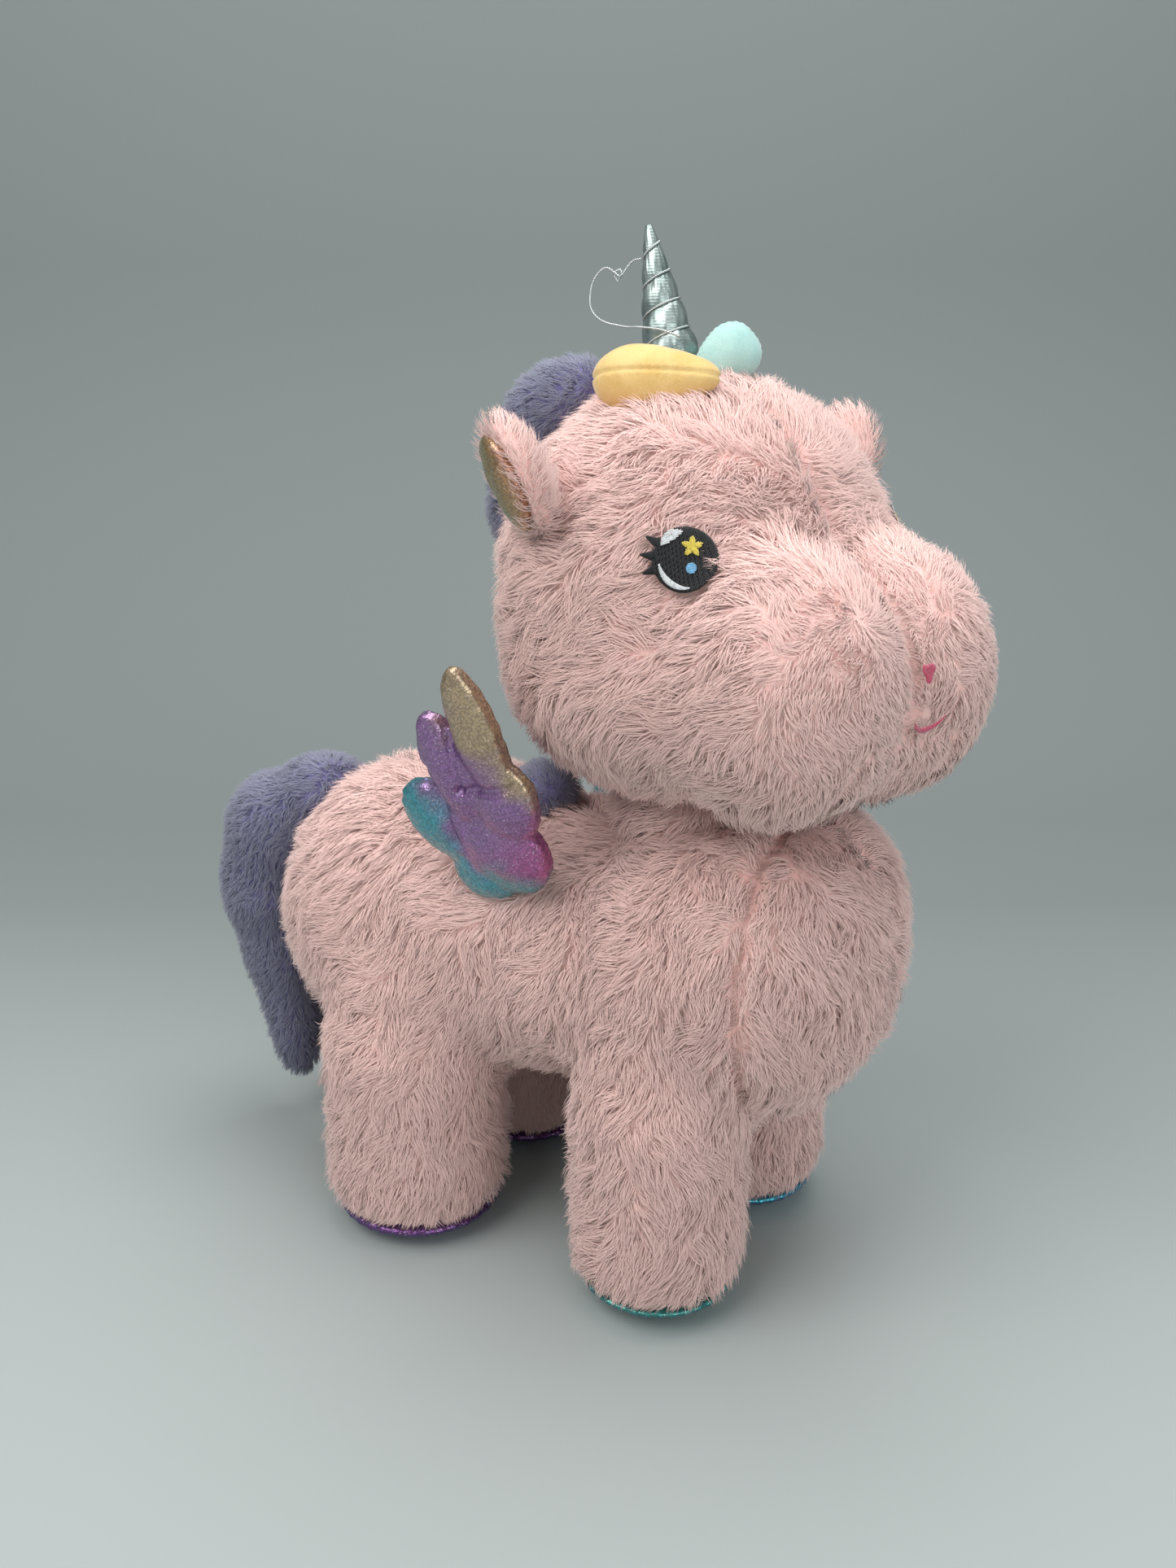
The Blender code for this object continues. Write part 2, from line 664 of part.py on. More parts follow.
def bridge(bm, a, b):
    n = len(a)
    for i in range(n):
        bm.faces.new((a[i], a[(i + 1) % n], b[(i + 1) % n], b[i]))


def add_thread(name, path):
    curve = bpy.data.curves.new(name, "CURVE")
    curve.dimensions = "3D"
    curve.bevel_depth = THREAD_R
    curve.bevel_resolution = 0
    curve.use_fill_caps = True
    spline = curve.splines.new("POLY")
    spline.points.add(len(path) - 1)
    for point, spot in zip(spline.points, path):
        point.co = (*spot, 1.0)
    part = bpy.data.objects.new(name, curve)
    curve.materials.append(material(name, (0.75, 0.77, 0.78), 0.25, 0.9))
    PARTS.objects.link(part)


# ---------------------------------------------------------------- embroidery on the head

def head_spot(ways):
    """Points of the head's skin along ways from its core, in millimetres."""
    ways = np.array(ways, float).reshape(-1, 3)
    ways /= np.linalg.norm(ways, axis=1)[:, None]
    core = np.array(HEAD_CORE, float)
    return core + ways * swell_reach(core, ways, HEAD_SWELLS, HEAD_BLEND)[:, None]


def head_frame(at):
    """The tangent frame of the head's skin nearest to a point: spot, across, up, out."""
    spot = head_spot([np.array(at, float) - np.array(HEAD_CORE, float)])[0]
    step = 0.5
    out = np.array([
        swell_field(np.array([spot + step * np.eye(3)[i], spot - step * np.eye(3)[i]]),
                    HEAD_SWELLS, HEAD_BLEND) @ (1, -1) for i in range(3)])
    out /= np.linalg.norm(out)
    up = np.array((0, 0, 1.0)) - out * out[2]
    up /= np.linalg.norm(up)
    return spot, np.cross(up, out), up, out


def patch(name, frame, outline, lift, thick):
    """Embroidery laid on the head: a grid inside an outline, standing lift off the skin."""
    spot, across, up, out = frame
    bm = bmesh.new()
    layers = []
    for height in (lift, lift + thick):
        rows = []
        for row in outline:
            flat = [spot + across * a + up * b for a, b in row]
            skin = head_spot(np.array(flat) - np.array(HEAD_CORE, float))
            rows.append([bm.verts.new((p + out * height) * MM) for p in skin])
        layers.append(rows)
    low, top = layers
    closed = len(outline[0]) > 2
    if closed:
        for rows, centre in ((low, low[0]), (top, top[0])):
            for a, b in zip(rows, rows[1:]):
                bridge(bm, a, b)
            bm.faces.new(centre)
        bridge(bm, low[-1], top[-1])
    else:
        for rows in (low, top):
            for a, b in zip(rows, rows[1:]):
                bm.faces.new((a[0], a[1], b[1], b[0]))
        for a, b, c, d in zip(low, low[1:], top, top[1:]):
            bm.faces.new((a[0], b[0], d[0], c[0]))
            bm.faces.new((a[1], b[1], d[1], c[1]))
        for k in (0, -1):
            bm.faces.new((low[k][0], low[k][1], top[k][1], top[k][0]))
    return settle_mm(mesh_from(bm, name))


def settle_mm(mesh):
    mesh.transform(Matrix.Translation((FEET_AHEAD, 0, 0)))
    return mesh


def round_rows(radius_at, centre=(0, 0), count=20, rings=(0.5, 1.0)):
    """Rings of points inside an outline given as a radius for each angle."""
    rows = []
    for share in rings:
        row = []
        for i in range(count):
            angle = 2 * math.pi * (i + 0.5) / count
            r = radius_at(angle) * share
            row.append((centre[0] + r * math.cos(angle), centre[1] + r * math.sin(angle)))
        rows.append(row)
    return rows


def bow_rows(centre, radius, start, end, width, count=10):
    """A crescent: pairs of points across an arc that tapers to both ends."""
    rows = []
    for i in range(count + 1):
        t = i / count
        angle = math.radians(start + (end - start) * t)
        half = width / 2 * (0.15 + 0.85 * math.sin(math.pi * t))
        rows.append([(centre[0] + (radius + s * half) * math.cos(angle),
                      centre[1] + (radius + s * half) * math.sin(angle)) for s in (-1, 1)])
    return rows


def star_radius(angle):
    turn = (angle - math.pi / 2) * 5 / (2 * math.pi)
    return STAR_R * (1 - 0.56 * min(1, 2 * abs(turn - round(turn))))


def eye_radius(angle):
    """The eye's black field, with three lashes at its rear edge."""
    lashes = 0.0
    for lash in LASHES:
        off = abs((angle - math.radians(lash) + math.pi) % (2 * math.pi) - math.pi)
        lashes = max(lashes, 1 - off / math.radians(9))
    return EYE_R + LASH_REACH * max(0.0, lashes)


def build_face():
    eye = head_frame(EYE_AT)
    field = patch("eye_black", eye, round_rows(eye_radius, count=30), 0.5, 0.6)
    add_pair("eye_black", field, (0.01, 0.01, 0.012), 0.6)
    for name, rows, colour in (
            ("eye_star", round_rows(star_radius, STAR_SPOT, 10), (0.90, 0.72, 0.06)),
            ("eye_blue_dot", round_rows(lambda a: 1.3, DOT_SPOT, 8), (0.20, 0.50, 0.80)),
            ("eye_white_glint", bow_rows((0.2, -0.2), 6.3, 122, 166, 2.0, 6), (0.9, 0.9, 0.92)),
            ("eye_white_crescent", bow_rows((1.2, -0.2), 6.4, 190, 262, 1.7, 8), (0.9, 0.9, 0.92))):
        add_pair(name, patch(name, eye, rows, 1.4, 0.4), colour, 0.6)
    nose = head_frame(NOSE_AT)
    add_part("nose", patch("nose", nose, round_rows(lambda a: NOSE_SIZE, (0, 0), 6), 0.5, 0.6),
             CRIMSON, 0.5)
    mouth = head_frame(MOUTH_AT)
    smile = patch("mouth", mouth, bow_rows((0, 9), 11, 225, 315, 1.2, 10), 0.5, 0.7)
    add_part("mouth", smile, CRIMSON, 0.5)


neck_socket = build_neck()
sockets = hip_sockets()
torso_outside = build_torso(sockets, neck_socket)
head_outside, fold_room = build_head(neck_socket)
build_ears(fold_room)
build_wings()
build_petals(head_outside, fold_room)
build_mane(head_outside, torso_outside)
build_tail(torso_outside)
build_horn()
build_face()
SOLES = {"front_right": (0.05, 0.42, 0.38), "front_left": (0.04, 0.45, 0.55),
         "rear_right": (0.20, 0.05, 0.22), "rear_left": (0.20, 0.05, 0.22)}
for leg_side in ("right", "left"):
    build_leg(leg_side, "front", FRONT_HIP_X, FRONT_LEG_R, SOLES[f"front_{leg_side}"])
    build_leg(leg_side, "rear", REAR_HIP_X, REAR_LEG_R, SOLES[f"rear_{leg_side}"])
turn_head()
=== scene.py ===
"""Looks for the plush unicorn: fur grown strand by strand over sewn skins, foil-knit wings, soles
and ear linings, a metallic-cloth horn wound with twisted thread, velour petals and embroidery.

Shapes are worked out in millimetres from the middle of the four feet, as in the CAD, and turned
into metres in the CAD's frame by to_frame().
"""

import math

import bmesh
import bpy
import numpy as np
from mathutils import Matrix, Vector, kdtree, noise


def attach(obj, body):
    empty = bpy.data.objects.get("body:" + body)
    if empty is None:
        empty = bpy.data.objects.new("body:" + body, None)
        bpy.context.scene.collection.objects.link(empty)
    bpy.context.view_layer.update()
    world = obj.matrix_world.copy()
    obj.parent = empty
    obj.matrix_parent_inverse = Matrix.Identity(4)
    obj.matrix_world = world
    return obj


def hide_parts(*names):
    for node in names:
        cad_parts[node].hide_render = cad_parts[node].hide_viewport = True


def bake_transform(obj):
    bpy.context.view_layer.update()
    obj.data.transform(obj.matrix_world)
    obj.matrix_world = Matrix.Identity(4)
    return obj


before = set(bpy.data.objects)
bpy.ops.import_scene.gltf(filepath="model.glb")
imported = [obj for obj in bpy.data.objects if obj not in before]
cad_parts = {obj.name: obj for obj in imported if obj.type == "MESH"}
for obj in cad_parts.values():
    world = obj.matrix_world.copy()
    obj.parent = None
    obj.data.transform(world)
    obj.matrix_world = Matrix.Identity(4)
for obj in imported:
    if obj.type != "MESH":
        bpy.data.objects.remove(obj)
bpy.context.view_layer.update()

MM = 0.001
AHEAD = 15.3                 # the feet's middle is this far ahead of the origin, mm
SIDES = (("right", -1), ("left", 1))

# Skins: the cloth that the pile stands on, a little inside the CAD surface, mm
ROOT_DEPTH = 3.0
TORSO_SWELLS = (
    ((49, 0, 97), (49, 51, 45)),
    ((55, 0, 117), (37, 42, 31)),
    ((-8, 0, 97.5), (60, 47, 43)),
    ((-58, 0, 97.5), (56, 52, 53)),
)
TORSO_CORE = (-8, 0, 97.5)
TORSO_BLEND = 7.0
HEAD_SWELLS = (
    ((34.7, 0, 216.4), (51.8, 60.6, 56.8)),
    ((86.6, -19.5, 194.8), (31.6, 31, 36.5)),
    ((86.6, 19.5, 194.8), (31.6, 31, 36.5)),
    ((39.7, 0, 188.6), (54.9, 57.6, 34.7)),
)
HEAD_CORE = (46, 0, 206)
HEAD_BLEND = 4.0
NECK_AT = (38, 0, 146.5)
HEAD_TURN = -20              # degrees the head looks to the toy's right
HEAD_PIECES = ("head", "ear", "eye", "nose", "mouth", "petal", "horn", "loose")
LEGS = {                     # hip x, hip y, radius
    "front_right": (42, -33, 27), "front_left": (42, 33, 27),
    "rear_right": (-48, -33, 30), "rear_left": (-48, 33, 30),
}
HIP_Z = 63
CHEST_SEAM_X = 70
CHIN_TOP = 183
CHIN_BACK_X = 30
CHIN_FRONT_X = 144.7
CHIN_HALF = (14, 22)         # the chin panel's half width at the throat and at the mouth


# ---- shapes

def to_frame(points):
    """Millimetres from the middle of the feet to metres in the CAD's frame."""
    return (np.asarray(points, float) + (AHEAD, 0, 0)) * MM


def from_frame(points):
    return np.asarray(points, float) / MM - (AHEAD, 0, 0)


LOOK = (Matrix.Translation(((AHEAD + NECK_AT[0]) * MM, 0, 0))
        @ Matrix.Rotation(math.radians(HEAD_TURN), 4, "Z")
        @ Matrix.Translation((-(AHEAD + NECK_AT[0]) * MM, 0, 0)))


def swell_field(points, swells, blend):
    """Below zero inside the swells melted together."""
    total = np.zeros(len(points))
    for centre, radii in swells:
        q = np.linalg.norm((points - np.array(centre, float)) / np.array(radii, float), axis=1)
        total += np.exp(-(q - 1.0) * min(radii) / blend)
    return -blend * np.log(total)


REACH_LIMIT = 200.0          # farther than any skin lies from its core, mm
HALVINGS = 32


def swell_reach(core, ways, swells, blend):
    """How far the skin lies from the core along each way."""
    low = np.zeros(len(ways))
    high = np.full(len(ways), REACH_LIMIT)
    for _ in range(HALVINGS):
        middle = (low + high) / 2
        inside = swell_field(core + ways * middle[:, None], swells, blend) < 0
        low = np.where(inside, middle, low)
        high = np.where(inside, high, middle)
    return low


def swollen(swells, core, blend, segments, rings, depth=0.0, poles="Z"):
    """A closed skin over the swells, depth inside them, as a bmesh in millimetres."""
    turn = Matrix.Rotation(math.pi / 2, 4, "Y") if poles == "X" else Matrix.Identity(4)
    bm = bmesh.new()
    bmesh.ops.create_uvsphere(bm, u_segments=segments, v_segments=rings, radius=1.0, matrix=turn)
    ways = np.array([v.co[:] for v in bm.verts])
    core = np.array(core, float)
    skin = core + ways * swell_reach(core, ways, swells, blend)[:, None]
    for v, spot in zip(bm.verts, skin):
        v.co = spot
    bm.normal_update()
    moves = [v.normal * depth for v in bm.verts]
    for v, move in zip(bm.verts, moves):
        v.co -= move
    return bm


def clock(steps):
    """Even angles round a circle."""
    return [2 * math.pi * i / steps for i in range(steps)]


def turned(profile, centre, steps=40):
    """A closed round body from (radius, height) points that run down from the axis to the axis."""
    bm = bmesh.new()
    rings = []
    for r, z in profile:
        angles = clock(steps) if r else [0.0]
        rings.append([bm.verts.new((centre[0] + r * math.cos(a), centre[1] + r * math.sin(a), z))
                      for a in angles])
    for a, b in zip(rings, rings[1:]):
        for i in range(steps):
            j = (i + 1) % steps
            corners = [a[i % len(a)], b[i % len(b)], b[j % len(b)], a[j % len(a)]]
            bm.faces.new([v for k, v in enumerate(corners) if v not in corners[:k]])
    bmesh.ops.recalc_face_normals(bm, faces=bm.faces[:])
    return bm


def lofted(bm, rings):
    """Skins rings of corners, with a cap at both ends."""
    for a, b in zip(rings, rings[1:]):
        for i in range(len(a)):
            j = (i + 1) % len(a)
            bm.faces.new((a[i], a[j], b[j], b[i]))
    bm.faces.new(rings[0][::-1])
    bm.faces.new(rings[-1])


def bare_mesh(bm, name):
    mesh = bpy.data.meshes.new(name)
    bm.to_mesh(mesh)
    bm.free()
    return mesh


def mesh_of(bm, name):
    """A mesh in the CAD's frame from a bmesh in millimetres."""
    bmesh.ops.recalc_face_normals(bm, faces=bm.faces[:])
    if bm.calc_volume(signed=True) < 0:
        bmesh.ops.reverse_faces(bm, faces=bm.faces[:])
    mesh = bare_mesh(bm, name)
    mesh.transform(Matrix.Scale(MM, 4) @ Matrix.Translation((AHEAD, 0, 0)))
    mesh.shade_smooth()
    return mesh


def put(name, data):
    """A new object in the scene."""
    made = bpy.data.objects.new(name, data)
    bpy.context.scene.collection.objects.link(made)
    return made


def linked(name, mesh, materials):
    piece = put(name, mesh)
    mesh.materials.clear()
    for made in materials if isinstance(materials, (list, tuple)) else [materials]:
        mesh.materials.append(made)
    return piece


def add_piece(name, mesh, materials, body=None, replaced=()):
    """A finished piece; those worn by the head turn with it."""
    if name.startswith(HEAD_PIECES):
        mesh.transform(LOOK)
    piece = linked(name, mesh, materials)
    if body:
        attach(piece, body)
    if replaced:
        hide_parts(*replaced)
    return piece


def applied(mesh, *steps):
    """The mesh after modifiers, each given as (type, settings)."""
    carrier = put("carrier", mesh)
    for kind, settings in steps:
        step = carrier.modifiers.new(kind, kind)
        for key, value in settings.items():
            setattr(step, key, value)
    graph = bpy.context.evaluated_depsgraph_get()
    made = bpy.data.meshes.new_from_object(carrier.evaluated_get(graph))
    bpy.data.objects.remove(carrier)
    made.shade_smooth()
    return made


def fused(bms, name, voxel, smoothing):
    """Closed bodies melted into one even skin."""
    whole = bmesh.new()
    for bm in bms:
        whole.from_mesh(bare_mesh(bm, "part"))
    return applied(mesh_of(whole, name),
                   ("REMESH", {"mode": "VOXEL", "voxel_size": voxel * MM}),
                   ("SMOOTH", {"factor": 0.5, "iterations": smoothing}))


# ---- materials

def new_material(name, colour, roughness=0.8, metallic=0.0, sheen=0.0):
    made = bpy.data.materials.new(name)
    made.use_nodes = True
    shader = made.node_tree.nodes["Principled BSDF"]
    shader.inputs["Base Color"].default_value = (*colour, 1.0)
    shader.inputs["Roughness"].default_value = roughness
    shader.inputs["Metallic"].default_value = metallic
    shader.inputs["Sheen Weight"].default_value = sheen
    return made


class Nodes:
    """A new material, and short words for building its node tree."""

    def __init__(self, *look, **more):
        self.made = new_material(*look, **more)
        self.tree = self.made.node_tree
        self.shader = self.tree.nodes["Principled BSDF"]
        self.place = self.add("ShaderNodeTexCoord").outputs["Object"]

    def add(self, kind, **settings):
        node = self.tree.nodes.new(kind)
        for key, value in settings.items():
            setattr(node, key, value)
        return node

    def link(self, source, target):
        self.tree.links.new(source, target)

    def noise(self, scale, detail):
        node = self.add("ShaderNodeTexNoise")
        node.inputs["Scale"].default_value = scale
        node.inputs["Detail"].default_value = detail
        self.link(self.place, node.inputs["Vector"])
        return node.outputs["Fac"]

    def ramp(self, factor, stops):
        node = self.add("ShaderNodeValToRGB")
        elements = node.color_ramp.elements
        while len(elements) < len(stops):
            elements.new(0.5)
        for element, (spot, colour) in zip(elements, stops):
            element.position = spot
            element.color = (*colour, 1.0)
        self.link(factor, node.inputs["Fac"])
        return node.outputs["Color"]

    def maths(self, operation, a, b=0.5):
        node = self.add("ShaderNodeMath", operation=operation)
        for value, socket in ((a, node.inputs[0]), (b, node.inputs[1])):
            if isinstance(value, (int, float)):
                socket.default_value = value
            else:
                self.link(value, socket)
        return node.outputs[0]

    def plus(self, a, b):
        return self.maths("ADD", a, b)

    def times(self, a, b):
        return self.maths("MULTIPLY", a, b)

    def axes(self):
        """The place's x, y and z."""
        lone = self.add("ShaderNodeSeparateXYZ")
        self.link(self.place, lone.inputs[0])
        return lone.outputs

    def mix(self, factor, a, b):
        node = self.add("ShaderNodeMix", data_type="RGBA")
        for value, socket in ((factor, node.inputs[0]), (a, node.inputs[6]), (b, node.inputs[7])):
            if isinstance(value, (int, float)):
                socket.default_value = value
            elif isinstance(value, tuple):
                socket.default_value = (*value, 1.0)
            else:
                self.link(value, socket)
        return node.outputs[2]

    def bump(self, height, strength, distance):
        node = self.add("ShaderNodeBump")
        node.inputs["Strength"].default_value = strength
        node.inputs["Distance"].default_value = distance
        self.link(height, node.inputs["Height"])
        self.link(node.outputs["Normal"], self.shader.inputs["Normal"])

    def colour(self, source):
        self.link(source, self.shader.inputs["Base Color"])

    def rough(self, scale, detail, spread, least):
        varied = self.plus(self.times(self.noise(scale, detail), spread), least)
        self.link(varied, self.shader.inputs["Roughness"])


def plush_cloth(name, low, high):
    """Backing cloth seen between the strands."""
    nodes = Nodes(name, high, 0.95, sheen=0.3)
    nodes.colour(nodes.ramp(nodes.noise(260, 4), ((0.35, low), (0.65, high))))
    nodes.bump(nodes.noise(900, 3), 0.6, 0.0006)
    return nodes.made


def pile(name, tones):
    """Strand materials, darker at the root as painted shade deep in the pile and pale at the tip,
    in two tones of each.
    """
    made = []
    for shade, lift in (("warm", 0.0), ("pale", 1.0)):
        for zone, (warm, pale) in zip(("root", "middle", "tip"), tones):
            mixed = tuple(a + (b - a) * lift for a, b in zip(warm, pale))
            made.append(new_material(f"{name}_{zone}_{shade}", mixed, 0.85, sheen=0.25))
    return made


# ---- fur

def triples(items, key, kind=float):
    """Three numbers for each item."""
    values = np.empty(len(items) * 3, kind)
    items.foreach_get(key, values)
    return values.reshape(-1, 3)


def surface(mesh):
    """Vertex places and normals in millimetres, and triangles."""
    spots, normals = triples(mesh.vertices, "co"), triples(mesh.vertex_normals, "vector")
    mesh.calc_loop_triangles()
    return from_frame(spots), normals, triples(mesh.loop_triangles, "vertices", int)


def moved(mesh, shift):
    """Moves each point along its normal by shift(points), in millimetres."""
    spots, normals, _ = surface(mesh)
    spots += normals * shift(spots)[:, None]
    mesh.vertices.foreach_set("co", to_frame(spots).reshape(-1))
    mesh.update()
    return mesh


def unit(vectors):
    return vectors / np.maximum(np.linalg.norm(vectors, axis=1), 1e-9)[:, None]


def scatter(mesh, per_mm2, rng):
    """Even random roots over a mesh, with normals."""
    spots, normals, triangles = surface(mesh)
    a, b, c = (spots[triangles[:, k]] for k in range(3))
    areas = np.linalg.norm(np.cross(b - a, c - a), axis=1) / 2
    count = int(areas.sum() * per_mm2)
    picks = rng.choice(len(areas), count, p=areas / areas.sum())
    u, v = rng.random(count), rng.random(count)
    fold = u + v > 1
    u[fold], v[fold] = 1 - u[fold], 1 - v[fold]
    w = 1 - u - v
    tri = triangles[picks]
    weights = ((w, 0), (u, 1), (v, 2))
    roots = sum(k[:, None] * spots[tri[:, i]] for k, i in weights)
    ways = unit(sum(k[:, None] * normals[tri[:, i]] for k, i in weights))
    return roots, ways


def tangent(vectors, normals):
    return unit(vectors - normals * (vectors * normals).sum(1)[:, None])


def turned_about(vectors, axes, angles):
    c, s = np.cos(angles)[:, None], np.sin(angles)[:, None]
    return vectors * c + np.cross(axes, vectors) * s


def lock_of(roots, share):
    """Which lock each strand belongs to: the nearest of every share-th root."""
    centres = roots[::share]
    tree = kdtree.KDTree(len(centres))
    for i, spot in enumerate(centres):
        tree.insert(spot, i)
    tree.balance()
    return np.array([tree.find(spot)[1] for spot in roots])


def swirl(points, size, strength):
    """A smooth angle that wanders over the surface."""
    return np.array([noise.noise(Vector(p / size)) for p in points]) * strength


PATHS = (0.0, 0.34, 0.68)    # where along a strand its rings are; the tip comes after them
RING_WIDTHS = (1.0, 0.95, 0.62)
RING_ANGLES = (90, 330, 210)
FLATNESS = 0.7               # a strand's thickness as a share of its width
SOFT_SHARE = 0.32            # how much of its own roundness a strand adds to the pile's shading
LOCK_SPREAD = 6              # how much the lean varies from lock to lock, degrees
STRAND_SPREAD = 5            # and from strand to strand within a lock
LEAN_RANGE = (15, 80)
TURN_SPREAD = 0.12           # how much strands turn within a lock, radians
LEAST_LENGTH = 0.12          # strands shorter than this share of the pile are left out
GATHER_REACH = 4.0           # mm


class Strands:
    """Strands as corner places and shading directions, a pale or warm shade, and their roots."""

    def __init__(self, points, ways, shade, roots):
        self.points, self.ways, self.shade, self.roots = points, ways, shade, roots

    def only(self, wanted):
        return Strands(self.points[wanted], self.ways[wanted], self.shade[wanted],
                       self.roots[wanted])


def strand_lines(roots, normals, flow, style, rng, limits):
    """The middle lines, widths and lengths of the strands, and which of them are pale."""
    count = len(roots)
    locks = lock_of(roots, style["lock"])
    centres = roots[::style["lock"]]
    turn = swirl(centres, style["swirl_size"], style["swirl"])
    turn += rng.normal(0, style["scatter"], len(centres))
    lift = rng.normal(style["lean"], LOCK_SPREAD, len(centres))
    grade = rng.random(len(centres))
    way = tangent(flow(roots, normals), normals)
    way = turned_about(way, normals, turn[locks] + rng.normal(0, TURN_SPREAD, count))
    side = np.cross(normals, way)
    lean = np.radians(np.clip(lift[locks] + rng.normal(0, STRAND_SPREAD, count), *LEAN_RANGE))
    length = style["length"] * rng.uniform(0.75, 1.1, count)
    if limits is not None:
        length = length * limits(roots, normals)
    inward = centres[locks] - roots
    gather = tangent(inward + 1e-6, normals)
    gather *= np.minimum(np.linalg.norm(inward, axis=1), GATHER_REACH)[:, None]
    wave = rng.normal(0, style["wave"], count)
    width = style["width"] * rng.uniform(0.8, 1.15, count)
    lines = []
    for t in (*PATHS, 1.0):
        rise = (length * np.cos(lean) * t * (1.5 - 0.5 * t))[:, None]
        along = (length * np.sin(lean) * t * (0.45 + 0.55 * t))[:, None]
        pull = style["gather"] * t ** 1.3
        bow = (wave * np.sin(math.pi * t) * length)[:, None]
        lines.append(roots + normals * rise + way * along + gather * pull + side * bow)
    return lines, width, length, grade[locks] > 0.5


def strands(roots, normals, flow, style, rng, limits=None):
    """Strands of three rings of three corners and a tip each, in millimetres."""
    lines, width, length, pale = strand_lines(roots, normals, flow, style, rng, limits)
    corners, shades = [], []
    for k, share in enumerate(RING_WIDTHS):
        run = unit(lines[k + 1] - lines[k])
        across = unit(np.cross(run, normals))
        up = np.cross(across, run)
        half = (width * share / 2)[:, None]
        for angle in RING_ANGLES:
            a = math.radians(angle)
            corners.append(lines[k] + (across * math.cos(a) + up * math.sin(a) * FLATNESS) * half)
            shades.append(unit(normals + SOFT_SHARE * (across * math.cos(a) + up * math.sin(a))))
    corners.append(lines[-1])
    shades.append(normals)
    kept = length > style["length"] * LEAST_LENGTH
    return Strands(np.stack(corners, axis=1), np.stack(shades, axis=1), pale, roots).only(kept)


RING_FACES = [(3 * k + i, 3 * k + (i + 1) % 3, 3 * k + 3 + (i + 1) % 3, 3 * k + 3 + i)
              for k in range(2) for i in range(3)]
TIP_FACES = [(6, 7, 9), (7, 8, 9), (8, 6, 9)]
ROOT_FACE = [(2, 1, 0)]
CORNERS = 10                 # of one strand
FACE_ZONES = (0, 0, 0, 1, 1, 1, 2, 2, 2, 0)      # root, middle or tip for each of its faces
FLOOR_GAP = 0.0004           # strands stay this far above the floor, m


def strand_mesh(name, fur, turn):
    """One mesh from many strands, its faces sorted into root, middle and tip materials."""
    count = len(fur.points)
    mesh = bpy.data.meshes.new(name)
    turn = np.array(turn)
    spots = to_frame(fur.points.reshape(-1, 3)) @ turn[:3, :3].T + turn[:3, 3]
    ways = fur.ways.reshape(-1, 3) @ turn[:3, :3].T
    spots[:, 2] = np.maximum(spots[:, 2], FLOOR_GAP)
    base = (np.arange(count) * CORNERS)[:, None]
    quads = np.array(RING_FACES).reshape(1, -1) + base
    tris = np.array(TIP_FACES + ROOT_FACE).reshape(1, -1) + base
    loops = np.concatenate((quads, tris), axis=1).reshape(-1)
    sizes = np.tile([4] * len(RING_FACES) + [3] * len(TIP_FACES + ROOT_FACE), count)
    starts = np.concatenate(([0], np.cumsum(sizes)[:-1]))
    mesh.vertices.add(len(spots))
    mesh.vertices.foreach_set("co", spots.reshape(-1))
    mesh.loops.add(len(loops))
    mesh.loops.foreach_set("vertex_index", loops)
    mesh.polygons.add(len(sizes))
    mesh.polygons.foreach_set("loop_start", starts)
    zone = np.tile(FACE_ZONES, (count, 1)) + 3 * fur.shade[:, None]
    mesh.polygons.foreach_set("material_index", zone.reshape(-1).astype(np.int32))
    mesh.update(calc_edges=True)
    mesh.shade_smooth()
    shading = mesh.attributes.new("custom_normal", "FLOAT_VECTOR", "POINT")
    shading.data.foreach_set("vector", ways.astype(np.float32).reshape(-1))
    mesh.update()
    return mesh


STRANDS_PER_PIECE = 11500    # keeps each fur piece's triangles well under the exporter's limit


def add_fur(name, fur, materials, place):
    """Fur as one or more pieces; place(piece) says which bodies it follows."""
    pieces = max(1, math.ceil(len(fur.points) / STRANDS_PER_PIECE))
    turn = LOOK if name.startswith(HEAD_PIECES) else Matrix.Identity(4)
    order = np.arange(len(fur.points))
    for k in range(pieces):
        own = f"{name}_{k + 1}"
        place(linked(own, strand_mesh(own, fur.only(order % pieces == k), turn), materials))


def worn(body):
    """For add_fur: the piece rides on one body."""
    def place(piece):
        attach(piece, body)
    return place


def steady(*way):
    """A flow that runs one way all over."""
    return lambda roots, normals: np.tile(way, (len(roots), 1))


# ---- pink plush

DENSITY = 1.0
# Root, middle and tip tones, warm and pale: the darker roots are painted shade deep in the pile
PINK_TONES = (((0.94, 0.63, 0.58), (0.94, 0.68, 0.64)),
              ((0.92, 0.71, 0.67), (0.93, 0.76, 0.72)),
              ((0.93, 0.83, 0.80), (0.94, 0.89, 0.87)))
LONG_PILE = {"length": 8.0, "width": 0.34, "lean": 63, "lock": 26, "swirl": 1.9,
             "swirl_size": 14.0, "scatter": 0.26, "wave": 0.10, "gather": 0.36, "per_mm2": 1.9}

PINK_STRANDS = pile("pink_strand", PINK_TONES)
PINK_CLOTH = plush_cloth("pink_backing", (0.95, 0.55, 0.50), (0.96, 0.64, 0.59))


def near(distance, width):
    return np.exp(-(distance / width) ** 2)


def chin_half(x):
    share = np.clip((x - CHIN_BACK_X) / (CHIN_FRONT_X - CHIN_BACK_X), 0, 1)
    return CHIN_HALF[0] + (CHIN_HALF[1] - CHIN_HALF[0]) * share


